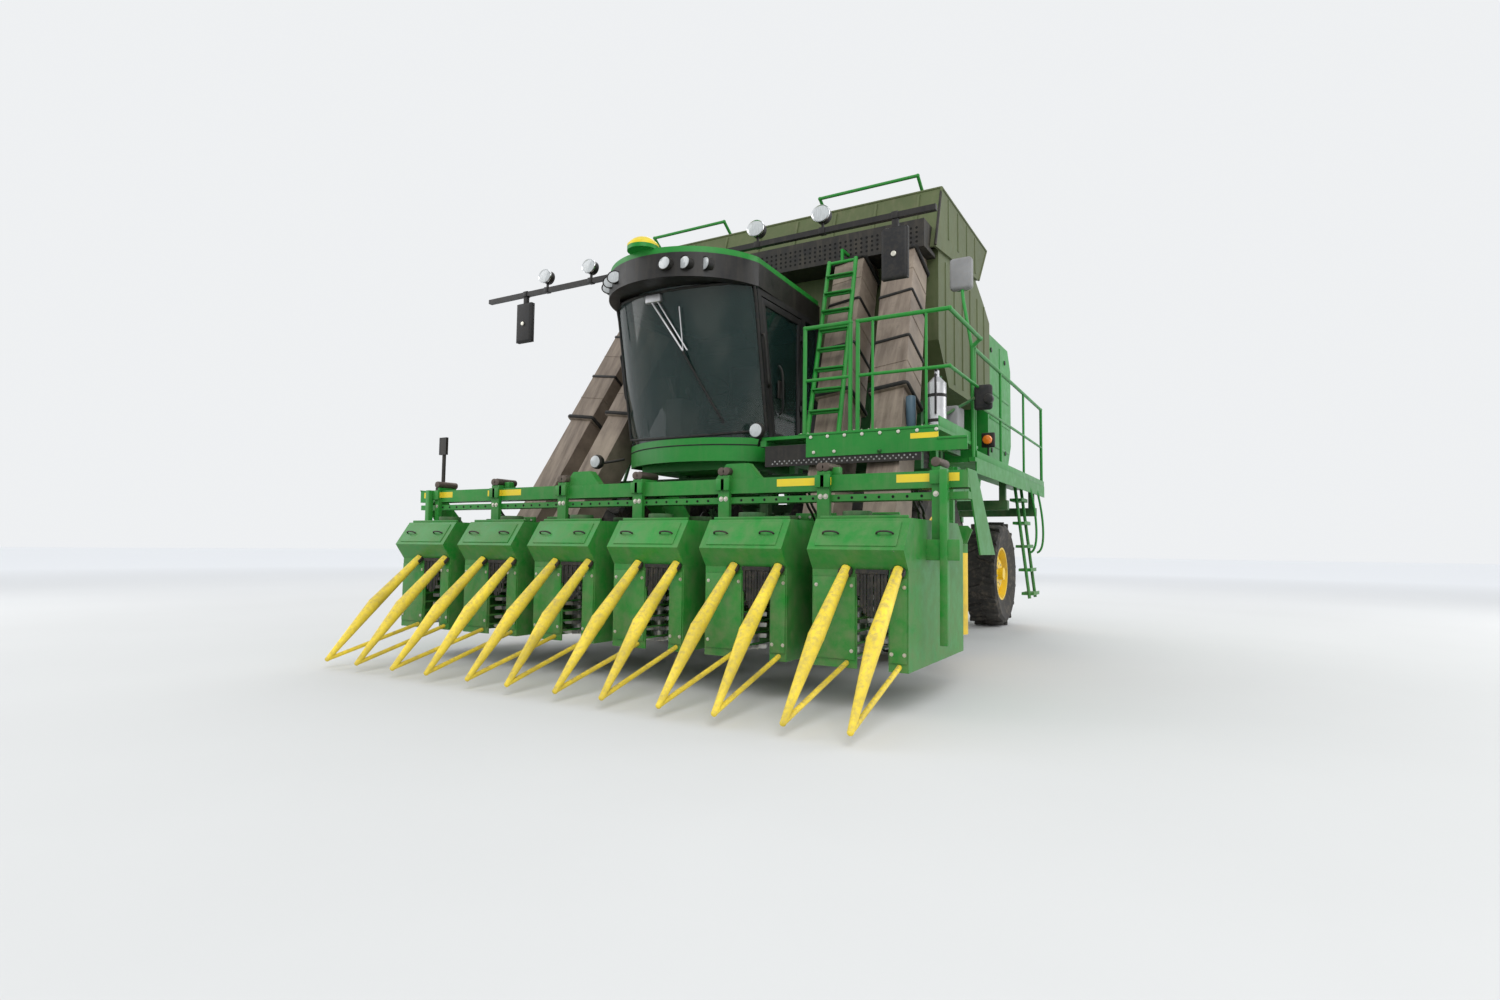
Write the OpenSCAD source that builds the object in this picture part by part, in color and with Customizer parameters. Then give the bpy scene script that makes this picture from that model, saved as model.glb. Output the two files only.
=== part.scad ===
// Six-row self-propelled cotton picker that builds round modules.
// Millimetres. The machine faces -Y, its left side is +X, and it stands on Z = 0.

/* [Row units] */
// Number of crop rows picked
row_count = 6; // [2:2:6]
// Distance between crop rows
row_pitch = 915; // [900:5:930]
// How far the crop rows lie left of the machine's middle
row_offset = 120; // [110:5:130]
// Width of the gap that the plants pass through
passage_w = 230; // [200:10:250]
// Height of the top of that gap above the ground
passage_top = 980; // [940:10:1000]
// Cabinet width on the drum side of the gap
drum_side_w = 340; // [320:5:350]
// Cabinet width on the pressure plate side
plate_side_w = 140; // [120:5:145]
// Cabinet top above the ground
cabinet_top = 1340; // [1320:5:1350]
// Cabinet floor above the ground
cabinet_floor = 300; // [260:10:340]
// Cabinet front face
cabinet_front = -4000; // [-4020:5:-3980]
// Cabinet rear face
cabinet_rear = -2600; // [-2640:5:-2580]
// Sheet thickness of the cabinets
cabinet_wall = 14; // [10:1:20]
// Radius of a picker drum over its spindles
drum_r = 145; // [130:1:150]
// Number of spindle layers on a drum
spindle_layers = 8; // [5:1:10]
// Largest diameter of a stalk lifter
lifter_d = 110; // [90:5:120]

/* [Toolbar] */
// Left end of the toolbar
toolbar_x1 = 2940; // [2900:5:2980]
// Right end of the toolbar
toolbar_x0 = -3040; // [-3080:5:-3000]
// Front face of the toolbar
toolbar_front = -3520; // [-3540:5:-3500]
// Depth of the toolbar
toolbar_depth = 190; // [160:5:210]
// Top of the toolbar
toolbar_top = 1700; // [1690:5:1710]
// Height of the toolbar's main beam
toolbar_h = 125; // [110:5:130]
// Height of the punched rail below the beam
rail_h = 52; // [40:1:60]
// Width of a row unit hanger
hanger_w = 60; // [50:5:70]
// Height of the lift frame's hinge
lift_z = 620; // [600:5:640]
// Place of the lift frame's hinge along the machine
lift_y = -1600; // [-1620:5:-1580]
// Distance from the outside of a chassis rail in to the lift arm
lift_arm_inset = 260; // [250:5:270]
// Diameter of the lift frame's hinge pin
lift_pin_d = 70; // [50:1:80]

/* [Air ducts] */
// Width of an upper duct
duct_w = 340; // [320:5:350]
// Depth of an upper duct
duct_d = 400; // [380:5:420]
// Wall of a duct
duct_wall = 8; // [5:1:10]
// Running gap between lower and upper duct
duct_gap = 12; // [8:1:15]
// Rearward slope of the ducts in degrees
duct_slope = 29.4; // [29:0.1:30]
// Inward lean of the ducts in degrees
duct_lean = 7.5; // [7:0.1:8]
// Outer duct's distance from the middle at the row units
duct_outer_x = 2055; // [2040:5:2070]
// Inner duct's distance from the middle at the row units
duct_inner_x = 1490; // [1480:5:1500]

/* [Cab] */
// Middle of the cab across the machine
cab_x = -100; // [-110:5:-90]
// Cab width over the skirt
cab_w = 1700; // [1680:10:1720]
// Front of the skirt in the middle
cab_front = -2850; // [-2870:5:-2830]
// Rear face of the cab
cab_rear = -1280; // [-1300:5:-1260]
// Underside of the skirt
skirt_bottom = 1900; // [1890:5:1910]
// Cab floor and lower edge of the glass
glass_bottom = 2190; // [2180:5:2200]
// Upper edge of the glass
glass_top = 3620; // [3600:5:3640]
// Forward lean of the windscreen in degrees
screen_lean = 11; // [10:0.5:12]
// Radius of the windscreen's curve
screen_r = 1150; // [1100:10:1200]
// Thickness of the glass
glass_t = 8; // [6:1:10]
// Size of the pillars
pillar = 70; // [60:5:80]
// Height of the roof
roof_h = 290; // [270:5:300]

/* [Wheels] */
// Front wheel radius over the lugs
front_r = 950; // [930:5:955]
// Front tyre width
front_w = 520; // [500:5:530]
// Inner front wheel's distance from the middle
front_x1 = 915; // [905:5:925]
// Outer front wheel's distance from the middle
front_x2 = 1830; // [1820:5:1840]
// Front axle place
front_y = -1150; // [-1170:5:-1130]
// Rear wheel radius over the lugs
rear_r = 775; // [750:5:780]
// Rear tyre width
rear_w = 480; // [460:5:490]
// Rear wheel's distance from the middle
rear_x = 1640; // [1630:5:1660]
// Rear axle place
rear_y = 2910; // [2890:5:2930]
// Kingpin's distance from the middle
kingpin_x = 1280; // [1270:5:1290]
// Kingpin diameter
kingpin_d = 80; // [60:2:90]

/* [Body] */
// Half the width of the accumulator
acc_half = 2000; // [1980:5:2020]
// Front of the accumulator's hood
acc_front = -870; // [-890:5:-850]
// Rear of the accumulator's hood
acc_rear = 1210; // [1190:5:1230]
// Top of the accumulator
acc_top = 5100; // [5080:5:5120]
// Thickness of its sheets
acc_wall = 30; // [20:2:40]
// Half the width of the chassis rails
frame_half = 560; // [540:5:580]
// Underside of the chassis rails
frame_z0 = 1150; // [1140:5:1160]
// Top of the chassis rails
frame_z1 = 1400; // [1390:5:1410]
// Walkway deck height
walk_z = 2010; // [2000:5:2020]
// Outer edge of the walkway
walk_x = 2540; // [2520:5:2560]
// Handrail tube diameter
tube_d = 38; // [30:1:42]
// Bore of the rear hitch
hitch_d = 33; // [31:1:40]

/* [Module builder] */
// Radius of the round module chamber
chamber_r = 1160; // [1140:5:1170]
// Half the width inside the chamber
chamber_half = 1220; // [1200:5:1230]
// Chamber centre along the machine
chamber_y = 2750; // [2740:5:2760]
// Chamber centre height
chamber_z = 2860; // [2850:5:2880]
// Thickness of the chamber's side walls
chamber_wall = 50; // [40:5:60]
// Radius of the belt rollers
roller_r = 70; // [60:5:80]
// Belt thickness
belt_t = 14; // [10:1:18]
// Height of the gate's hinge
gate_z = 4130; // [4120:5:4140]

/* [Hidden] */
$fn = 48;

green = [0.05, 0.45, 0.13];
dark_green = [0.04, 0.3, 0.1];
olive = [0.3, 0.35, 0.2];
yellow = [0.93, 0.8, 0.15];
black = [0.08, 0.08, 0.08];
tan_brown = [0.5, 0.42, 0.35];
steel = [0.6, 0.6, 0.62];

// Small air between pieces of different bodies that seat on each other
seat_gap = 0.3;
sides = [-1, 1];

function row_x(i) = (i - (row_count - 1) / 2) * row_pitch + row_offset;

// A box between two corners
module block(a, b) { translate(a) cube(b - a); }

// A round bar between two points
module rod(a, b, d) {
    v = b - a;
    l = norm(v);
    translate(a) rotate([0, acos(v[2] / l), atan2(v[1], v[0])]) rotate([0, 0, 29]) cylinder(h = l, d = d);
}

// A bent tube through a list of points, with a round joint at each bend
module tube_path(points, d = tube_d) {
    last = len(points) - 2;
    for (i = [0 : last]) {
        n = (points[i + 1] - points[i]) / norm(points[i + 1] - points[i]);
        rod(points[i] + n * (i > 0 ? d / 4 : 0), points[i + 1] - n * (i < last ? d / 4 : 0), d);
    }
    for (i = [1 : last]) translate(points[i]) rotate([31, 17, 0]) sphere(d = d * 1.18);
}

// A plate with its outline given as [y, z] points, from x0 to x1
module side_plate(x0, x1, outline) {
    translate([x0, 0, 0]) rotate([90, 0, 90]) linear_extrude(x1 - x0) polygon(outline);
}

// A plate with its outline given as [x, z] points, from y0 to y1
module front_plate(y0, y1, outline) {
    translate([0, y1, 0]) rotate([90, 0, 0]) linear_extrude(y1 - y0) polygon(outline);
}

// A pipe along X
module pipe_x(x0, x1, y, z, d) {
    translate([x0, y, z]) rotate([0, 90, 0]) cylinder(h = x1 - x0, d = d);
}

// Chassis: two rails, cross members, cab stools, outriggers and the hitch
outrigger_y = [60, 1850];
outrigger_z = 1590;
outrigger_top = outrigger_z + 110;
post_y = [60, 900];
pin_d = 60;
lift_arm_x = frame_half - lift_arm_inset;
cylinder_x = lift_arm_x + 90;
rail_w = 100;
barrel_pin_d = 45;
module main_frame() {
    inner = frame_half - rail_w - seat_gap;
    rail_x = frame_half - rail_w / 2;
    color(dark_green) {
        block([-inner, -2250, frame_z1 - 60], [inner, -2150, frame_z1]);
        for (y = [0, 1780, 2840]) block([-inner, y, frame_z0 + 30], [inner, y + 140, frame_z1 - 30]);
        for (y = outrigger_y) block([-2480, y, outrigger_z], [2480, y + 100, outrigger_top]);
        // cross beam below the cab for the platform and the stalk guards
        block([-2500, front_beam_y, front_beam_z - 90], [2500, front_beam_y + 80, front_beam_z]);
        for (s = sides) {
            block([s * rail_x - rail_w / 2, -2250, frame_z0], [s * rail_x + rail_w / 2, 4000, frame_z1]);
            // stools under the cab, the front ones in two parts round the cross beam
            for (v = [[front_beam_y, frame_z1, front_beam_z - 90],
                [front_beam_y, front_beam_z, skirt_bottom],
                [-1450, frame_z1, skirt_bottom]])
                block([s * rail_x - 50, v[0], v[1] + seat_gap],
                    [s * rail_x + 50, v[0] + 80, v[2] - seat_gap]);
            // side beams, posts under the accumulator and under the walkway
            block([s * post_x - 50, outrigger_y[0] + 100 + seat_gap, outrigger_z],
                [s * post_x + 50, outrigger_y[1] - seat_gap, outrigger_top]);
            for (y = post_y) block([s * post_x - 50, y, outrigger_top + seat_gap],
                [s * post_x + 50, y + 100, acc_floor - seat_gap]);
            for (y = outrigger_y) {
                block([s * 2420 - 35, y + 10, outrigger_top + seat_gap],
                    [s * 2420 + 35, y + 80, walk_z - walk_t - seat_gap]);
                block([s * (rail_x - 10) - 50, y, frame_z1 + seat_gap],
                    [s * (rail_x - 10) + 50, y + 100, outrigger_z - seat_gap]);
            }
        }
        lift_carrier(inner);
        for (s = sides) handler_carrier(s);
        // rear cross member with the hitch plate on its stem
        difference() {
            union() {
                block([-inner, 3860, frame_z0 + 30], [inner, 3995, frame_z1 - 30]);
                block([-60, 3900, 1000], [60, 3990, frame_z0 + 120]);
                block([-90, 3950, 1020], [90, 4140, 1060]);
            }
            translate([0, 4090, 0]) cylinder(h = 1200, d = hitch_d);
        }
    }
}

// Cross member with the lift frame's bearings and the anchors of the lift cylinders
module lift_carrier(inner) {
    block([-inner, -1750, frame_z0 + 30], [inner, -1610, frame_z1 - 30]);
    for (s = sides) {
        for (dx = [-90, 60]) side_plate(s * lift_arm_x + dx, s * lift_arm_x + dx + 30, lift_lug);
        side_plate(s * lift_arm_x - 14, s * lift_arm_x + 14, cylinder_lug);
        pipe_x(s * lift_arm_x - 90, s * lift_arm_x + 90, lift_y, lift_z, lift_pin_d);
        pipe_x(s > 0 ? lift_arm_x - 14 : -cylinder_x - 25, s > 0 ? cylinder_x + 25 : 14 - lift_arm_x,
            barrel_pin[0], barrel_pin[1], barrel_pin_d);
    }
}

// Bracket outside a rail with two lugs and the pin of the module cradle
module handler_carrier(s) {
    block([s > 0 ? frame_half + seat_gap : -handler_x - 70, handler_y - 50, 1190],
        [s > 0 ? handler_x + 70 : -frame_half - seat_gap, handler_y + 50, 1300]);
    for (x = [s * handler_x - 70, s * handler_x + 45]) side_plate(x, x + 25, [[handler_y - 60, 1200],
        [handler_y - 50, handler_z - 50], [handler_y + 50, handler_z - 50], [handler_y + 60, 1200]]);
    pipe_x(s * handler_x - 70, s * handler_x + 70, handler_y, handler_z, pin_d);
}
front_beam_y = -2130;
front_beam_z = 1870;
walk_t = 40;
acc_floor = 2950;
lift_lug = [[lift_y - 90, lift_z - 60], [lift_y - 60, lift_z - 90], [lift_y + 60, lift_z - 90],
    [lift_y + 90, lift_z - 60], [lift_y + 110, frame_z0 + 60], [lift_y - 200, frame_z0 + 60]];
// Places of the lift cylinder's pins as [y, z]
barrel_pin = [-1820, 1500];
rod_pin = [-2500, 905];
cylinder_lug = [[barrel_pin[0] - 70, barrel_pin[1] + 40], [barrel_pin[0] + 60, barrel_pin[1] + 60],
    [barrel_pin[0] + 80, barrel_pin[1] - 60], [-1620, frame_z1 - 60], [-1740, frame_z1 - 60],
    [barrel_pin[0] - 50, barrel_pin[1] - 60]];

// Driven front axle with its final drives
hub_x = front_x1 - 274;
module front_axle() {
    color(dark_green) {
        block([-frame_half + 20, front_y - 130, front_r - 110], [frame_half - 20, front_y + 130, frame_z0]);
        pipe_x(-hub_x, hub_x, front_y, front_r, 300);
        for (s = sides) pipe_x(s * (hub_x - 28) - 28, s * (hub_x - 28) + 28, front_y, front_r, 380);
    }
}

// Steered rear axle beam with kingpin eyes and its pedestal
module rear_axle() {
    color(dark_green) difference() {
        union() {
            block([-kingpin_x + 10, rear_y - 80, rear_r - 90], [kingpin_x - 10, rear_y + 80, rear_r + 90]);
            for (s = sides) translate([s * kingpin_x, rear_y, rear_r - 90]) cylinder(h = 180,
                d = kingpin_d + 80);
            block([-150, rear_y - 110, rear_r + 80], [150, rear_y + 110, frame_z0]);
            block([-frame_half, rear_y - 60, frame_z0 - 120], [frame_half, rear_y + 60, frame_z0]);
        }
        for (s = sides) translate([s * kingpin_x, rear_y, 0]) cylinder(h = 2000, d = kingpin_d);
    }
}

// Engine and pump drive as one plain block, between the rails and clear of the belts
engine_half = frame_half - 130;
engine_rear = chamber_y - chamber_r - 90;
module engine_block() {
    color(steel) {
        block([-engine_half, 260, frame_z0 + 60], [engine_half, engine_rear, 2450]);
        for (y = [400, engine_rear - 200]) block([-frame_half + 20, y, frame_z1],
            [frame_half - 20, y + 80, frame_z1 + 60]);
    }
}

// Engine bay covers with the round cooling air screen on the left
module engine_enclosure() {
    color(green) {
        for (s = sides) difference() {
            block([s > 0 ? bay_x - 30 : -bay_x, 160 + seat_gap, 1700],
                [s > 0 ? bay_x : 30 - bay_x, 1550, acc_floor - seat_gap]);
            if (s > 0) pipe_x(bay_x - 60, bay_x + 60, screen[0], screen[1], 1040);
        }
        block([-bay_x + 29, 160 + seat_gap, 2600], [bay_x - 29, 190, acc_floor - seat_gap]);
    }
    color(black) difference() {
        pipe_x(bay_x - 25, bay_x + 45, screen[0], screen[1], 1060);
        pipe_x(bay_x - 26, bay_x + 25, screen[0], screen[1], 980);
        pipe_x(bay_x - 26, bay_x + 46, screen[0], screen[1], 180);
        for (i = [0 : 17]) translate([0, screen[0], screen[1]]) rotate([i * 20, 0, 0])
            block([bay_x, -22, 140], [bay_x + 60, 22, 450]);
    }
}
bay_x = chamber_half + chamber_wall + 30;
post_x = bay_x + 120;
screen = [1000, 2330];

// Two air fans behind the cab that blow up the ducts
module air_fans() {
    color(dark_green) for (s = sides) {
        difference() {
            union() {
                pipe_x(s * fan_x - 170, s * fan_x + 170, -480, 2440, 860);
                block([s * fan_x - 170, -910, 2440], [s * fan_x + 170, -600, 3000]);
            }
            pipe_x(s > 0 ? fan_x - 150 : -fan_x - 171, s > 0 ? fan_x + 171 : 150 - fan_x, -480, 2440, 420);
        }
        block([s * fan_x - 160, -520, 1710], [s * fan_x + 160, -440, 2080]);
        block([s * fan_x - 160, -520, 1700], [s * fan_x + 160, 160, 1760]);
    }
}
fan_x = 1040;

// Lower walls of the accumulator, with the air plenum along its front
hood_back = acc_rear - 425;
hood_foot = acc_front - 240;
lower_outline = [[-900, 4410], [-900, 3400], [-500, acc_floor], [1000, acc_floor], [1500, 3300],
    [1500, 4200], [1160, 4380], [hood_back - 39, 4563]];
lower_cavity = [[-870, 4700], [-870, 3412], [-487, acc_floor + acc_wall], [990, acc_floor + acc_wall],
    [1470, 3317], [1470, 4182], [1150, 4350], [hood_back - 60, 4530], [hood_back - 60, 4700]];
module accumulator() {
    side = acc_half - acc_wall;
    color(olive) difference() {
        side_plate(-side, side, lower_outline);
        side_plate(-side + acc_wall, side - acc_wall, lower_cavity);
    }
    color(black) difference() {
        side_plate(-side + 30, side - 30, [[plenum_y, duct_top], [-900, duct_top], [-900, duct_top + 30],
            [hood_foot - seat_gap, duct_top + 60], [hood_foot + 77, 4600], [plenum_y, 4600]]);
        side_plate(-side + 45, side - 45, [[plenum_y + 15, duct_top + 20], [hood_foot - 5, duct_top + 20],
            [hood_foot - 5, duct_top + 60], [hood_foot + 65, 4585], [plenum_y + 15, 4585]]);
        for (s = sides) for (x = [duct_outer_x, duct_inner_x]) duct_bore(s, x);
    }
    // transition to the module builder
    color(green) side_plate(seat_gap - chamber_half, chamber_half - seat_gap,
        [[1490, 4200], [1900, 4100], [1900, 4040], [1490, 4140]]);
}

// Raised hood of the accumulator with the two safety rails on it
hood_outline = [[hood_foot, 4360], [acc_front, acc_top], [acc_rear, acc_top], [hood_back, 4570]];
module accumulator_hood() {
    color(olive) difference() {
        side_plate(-acc_half, acc_half, hood_outline);
        side_plate(-acc_half + acc_wall, acc_half - acc_wall, [[hood_foot + 32, 4300],
            [acc_front + 22, acc_top - acc_wall], [acc_rear - 64, acc_top - acc_wall],
            [hood_back - 38, 4570], [hood_back - 38, 4300]]);
    }
    color(green) for (x = [[-2000 + tube_d / 2, -860], [500, 1710]])
        tube_path([[x[0], acc_front + 420, acc_top - 5], [x[0], acc_front + 70, acc_top + 230],
            [x[1], acc_front + 70, acc_top + 230], [x[1], acc_front + 420, acc_top - 5]]);
}

// Places a child with its Z along a duct whose foot is at x beside the middle
duct_foot = [-2750, 1360];
duct_top = 4300;
plenum_y = -1312;
module along_duct(s, x) {
    translate([s * x, duct_foot[0], duct_foot[1]]) rotate([0, -s * duct_lean, 0])
        rotate([-duct_slope, 0, 0]) children();
}
module duct_bore(s, x) {
    along_duct(s, x) translate([-duct_w / 2 + duct_wall, -duct_d / 2 + duct_wall, 3000])
        cube([duct_w - 2 * duct_wall, duct_d - 2 * duct_wall, 700]);
}
module duct_tube(w, d, wall, z0, z1) {
    difference() {
        translate([-w / 2, -d / 2, z0]) cube([w, d, z1 - z0]);
        translate([-w / 2 + wall, -d / 2 + wall, z0 - 1]) cube([w - 2 * wall, d - 2 * wall, z1 - z0 + 2]);
    }
}
module upper_ducts() {
    color(tan_brown) for (s = sides) for (x = [duct_outer_x, duct_inner_x]) difference() {
        along_duct(s, x) {
            duct_tube(duct_w, duct_d, duct_wall, 1330, 3700);
            duct_tube(duct_w + 24, duct_d + 24, 14, 1330, 1380);
            // lip that seals on the lower duct
            duct_tube(duct_w - 1, duct_d - 1, duct_wall + duct_gap - 0.5 - seat_gap, 1330, 1350);
        }
        block([s * 1600 - 1000, -2600, duct_top], [s * 1600 + 1000, 0, duct_top + 1500]);
        block([s * 1600 - 1000, -900, 3000], [s * 1600 + 1000, 0, duct_top + 1]);
    }
}

// Lower ducts slide up into the upper ones as the row units rise
module lower_ducts(s) {
    lw = duct_w - 2 * duct_wall - 2 * duct_gap;
    ld = duct_d - 2 * duct_wall - 2 * duct_gap;
    color(tan_brown) for (x = [duct_outer_x, duct_inner_x]) difference() {
        along_duct(s, x) duct_tube(lw, ld, duct_wall, -400, 1750);
        block([s * 1600 - 1200, -4000, 500], [s * 1600 + 1200, -2000, cabinet_top + 12]);
    }
}

// Cab floor and skirt, with a rounded front
module cab_plan(grow = 0) {
    intersection() {
        translate([0, cab_front + screen_r - grow]) circle(r = screen_r);
        translate([-cab_w / 2 - grow, cab_front - grow])
            square([cab_w + 2 * grow, cab_rear - cab_front + grow]);
    }
    translate([-cab_w / 2 - grow, cab_front + 500])
        square([cab_w + 2 * grow, cab_rear - cab_front - 500 + grow]);
}
module cab_base() {
    color(green) translate([cab_x, 0, 0]) {
        difference() {
            translate([0, 0, skirt_bottom + 60]) linear_extrude(glass_bottom - skirt_bottom - 60)
                cab_plan();
            translate([0, 0, skirt_bottom]) linear_extrude(glass_bottom - skirt_bottom - 60) cab_plan(-30);
        }
        block([-640, cab_front + 300, skirt_bottom], [640, cab_rear - 20, glass_bottom - 40]);
    }
}

// Pillars, rails and rear wall of the cab, with the door's hinges on the left
a_foot_y = cab_front + 390;
function lean_at(z) = (z - glass_bottom) * tan(screen_lean);
lean_dy = lean_at(glass_top);
b_post_y = -1760;
hinge_x = cab_x + cab_w / 2 + 13;
hinge_y = b_post_y - 6;
hinge_z = [2500, 3250];
hinge_pin_d = 16;
module cab_frame() {
    hw = cab_w / 2 - pillar;
    color(black) {
        translate([cab_x, 0, 0]) {
            for (x = [-hw - pillar, hw]) {
                // windscreen pillar
                side_plate(x, x + pillar, [[a_foot_y, glass_bottom], [a_foot_y + pillar, glass_bottom],
                    [a_foot_y + pillar - lean_dy, glass_top], [a_foot_y - lean_dy, glass_top]]);
                // post behind the door, rear corner post, and the side panel between them
                block([x, b_post_y, glass_bottom], [x + pillar, b_post_y + pillar, glass_top]);
                block([x, cab_rear - pillar, glass_bottom], [x + pillar, cab_rear, glass_top]);
                block([x, b_post_y + pillar - 1, glass_bottom],
                    [x + pillar, cab_rear - pillar + 1, glass_bottom + 420]);
                // roof rail
                side_plate(x, x + pillar, [[a_foot_y - lean_at(glass_top - 60), glass_top - 60],
                    [cab_rear, glass_top - 60],
                    [cab_rear, glass_top], [a_foot_y - lean_dy, glass_top]]);
            }
            block([-hw, cab_rear - 50, glass_bottom], [hw, cab_rear, glass_bottom + 520]);
            block([-hw, cab_rear - 50, glass_top - 160], [hw, cab_rear, glass_top]);
            // fixed sill on the right, where there is no door
            block([-hw - pillar, a_foot_y, glass_bottom], [-hw, b_post_y, glass_bottom + 60]);
        }
        for (z = hinge_z) {
            translate([hinge_x, hinge_y, z]) cylinder(h = 180, d = hinge_pin_d);
            for (dz = [0, 125]) {
                translate([hinge_x, hinge_y, z + dz]) cylinder(h = 55, d = 24);
                block([hinge_x - 14, hinge_y + 2, z + dz], [hinge_x + 6, hinge_y + 30, z + dz + 55]);
            }
        }
    }
}

// Curved windscreen, right side glass, rear and quarter windows
module cab_glass() {
    hw = cab_w / 2 - pillar;
    color([0.2, 0.3, 0.35, 0.4]) translate([cab_x, 0, 0]) {
        intersection() {
            translate([0, cab_front, glass_bottom]) rotate([screen_lean, 0, 0])
                translate([0, screen_r, -200]) difference() {
                    cylinder(h = 2000, r = screen_r - 4);
                    translate([0, 0, -1]) cylinder(h = 2002, r = screen_r - 4 - glass_t);
                }
            side_plate(-cab_w / 2 + 4, cab_w / 2 - 4,
                [[a_foot_y - 1, glass_bottom], [a_foot_y - 1 - lean_dy, glass_top],
                [a_foot_y - 900, glass_top], [a_foot_y - 900, glass_bottom]]);
        }
        // right side glass
        side_plate(-hw - 40, -hw - 40 + glass_t,
            [[a_foot_y + pillar + 0.5 - lean_at(glass_bottom + 60), glass_bottom + 60 + seat_gap],
            [b_post_y - seat_gap, glass_bottom + 60 + seat_gap],
                [b_post_y - seat_gap, glass_top - 60 - seat_gap],
            [a_foot_y + pillar + 0.5 - lean_at(glass_top - 60), glass_top - 60 - seat_gap]]);
        for (s = sides) block([s * (hw + 30) - 4, b_post_y + pillar, glass_bottom + 420],
            [s * (hw + 30) + 4, cab_rear - pillar, glass_top - 60]);
        block([-hw, cab_rear - 30, glass_bottom + 520], [hw, cab_rear - 30 + glass_t, glass_top - 160]);
    }
}

// Roof: black visor with lamp pods below a green cap
roof_front = cab_front - lean_dy - 280;
module roof_plan(grow = 0) {
    intersection() {
        translate([0, roof_front + 900]) circle(r = 900 + grow);
        translate([-870 - grow, roof_front - grow]) square([1740 + 2 * grow, 680]);
    }
    polygon([[-870 - grow, roof_front + 665], [870 + grow, roof_front + 665],
        [810 + grow, cab_rear + 40 + grow],
        [-810 - grow, cab_rear + 40 + grow]]);
}
lamp_places = [[-690, 22], [-560, 16], [-430, 12], [250, -8], [430, -14], [590, -22]];
module cab_roof() {
    translate([cab_x, 0, 0]) {
        color(black) difference() {
            translate([0, 0, glass_top]) linear_extrude(roof_h - 60) roof_plan();
            translate([0, 0, glass_top - 1]) linear_extrude(41) intersection() {
                roof_plan(-110);
                translate([-cab_w / 2 + pillar, cab_front - lean_dy - 10])
                    square([cab_w - 2 * pillar, cab_rear - cab_front + lean_dy - 60]);
            }
        }
        color(green) translate([0, 0, glass_top + roof_h - 60]) linear_extrude(60) roof_plan(-12);
        color(steel) for (p = lamp_places) translate([p[0], roof_front + lamp_set(p[0]), glass_top + 120])
            rotate([90, 0, p[1]]) cylinder(h = 60, d = 120);
    }
}
function lamp_set(x) = 900 - sqrt(900 * 900 - x * x) + 30;

// Square bar over the cab that carries mirrors and lamps
bar_y = -2770;
bar_z = 4010;
roof_z = glass_top + roof_h;
module mirror_bar() {
    color(black) {
        block([-2900, bar_y - 25, bar_z - 25], [2500, bar_y + 25, bar_z + 25]);
        for (x = [-700, 500]) block([x - 20, bar_y - 20, roof_z], [x + 20, bar_y + 20, bar_z - 24]);
        for (x = [-2300, 2140]) {
            block([x - 12, bar_y - 12, bar_z - 200], [x + 12, bar_y + 12, bar_z - 20]);
            block([x - 115, bar_y - 30, bar_z - 560], [x + 115, bar_y + 20, bar_z - 110]);
        }
        for (x = [-1970, -1320, 770, 1450]) {
            block([x - 10, bar_y - 10, bar_z + 20], [x + 10, bar_y + 10, bar_z + 100]);
            translate([x, bar_y - 35, bar_z + 150]) rotate([-90, 0, 0]) cylinder(h = 70, d = 150);
        }
    }
}

// Satellite receiver on its bracket
module receiver_dome() {
    color(green) translate([cab_x - 40, roof_front + 40, roof_z]) {
        block([-90, 20, 0], [90, 180, 30]);
        cylinder(h = 60, d = 300);
    }
    color(yellow) translate([cab_x - 40, roof_front + 40, roof_z + 59]) intersection() {
        scale(0.6) translate([0, 0, -170]) sphere(r = 300);
        cylinder(h = 200, d = 298);
    }
}

// Amber beacon
module beacon() {
    color([0.9, 0.35, 0.05]) translate([cab_x - 120, bar_y + 120, roof_z]) {
        cylinder(h = 60, d = 120);
        translate([0, 0, 59]) cylinder(h = 90, d = 110);
        translate([0, 0, 148]) intersection() {
            sphere(d = 110);
            translate([-60, -60, 0]) cube(120);
        }
    }
}

// Operator's seat, steering column, console and monitor
module cab_interior() {
    color(black) translate([cab_x, -1820, glass_bottom]) {
        block([-140, -180, 0], [140, 180, 330]);
        block([-250, -270, 329], [250, 260, 450]);
        rotate([-8, 0, 0]) block([-240, 190, 440], [240, 300, 1080]);
        for (s = sides) {
            block([s * 300 - 40, -200, 500], [s * 300 + 40, 220, 560]);
            block([s * 260 - 25, 60, 380], [s * 260 + 25, 160, 501]);
        }
    }
    color([0.3, 0.3, 0.3]) translate([cab_x, 0, glass_bottom]) {
        difference() {
            translate([0, -2480, 0]) rotate([-22, 0, 0]) translate([0, 0, -60]) cylinder(h = 780, d = 110);
            block([-200, -2800, -200], [200, -2200, 0]);
        }
        translate([0, -2480, 0]) rotate([-22, 0, 0]) {
            rotate_extrude() polygon([[176, 714], [184, 706], [196, 706], [205, 714], [205, 726],
                [196, 734],
                [184, 734], [176, 726]]);
            translate([0, 0, 700]) cylinder(h = 36, d = 90);
            for (i = [0 : 2]) rotate([0, 0, i * 120 + 30]) block([40, -15, 712], [190, 15, 724]);
        }
        block([-640, -2160, 0], [-420, -1700, 560]);
        rod([-530, -2120, 540], [-540, -2260, 820], 40);
        block([-660, -2300, 790], [-420, -2250, 990]);
    }
}

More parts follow.
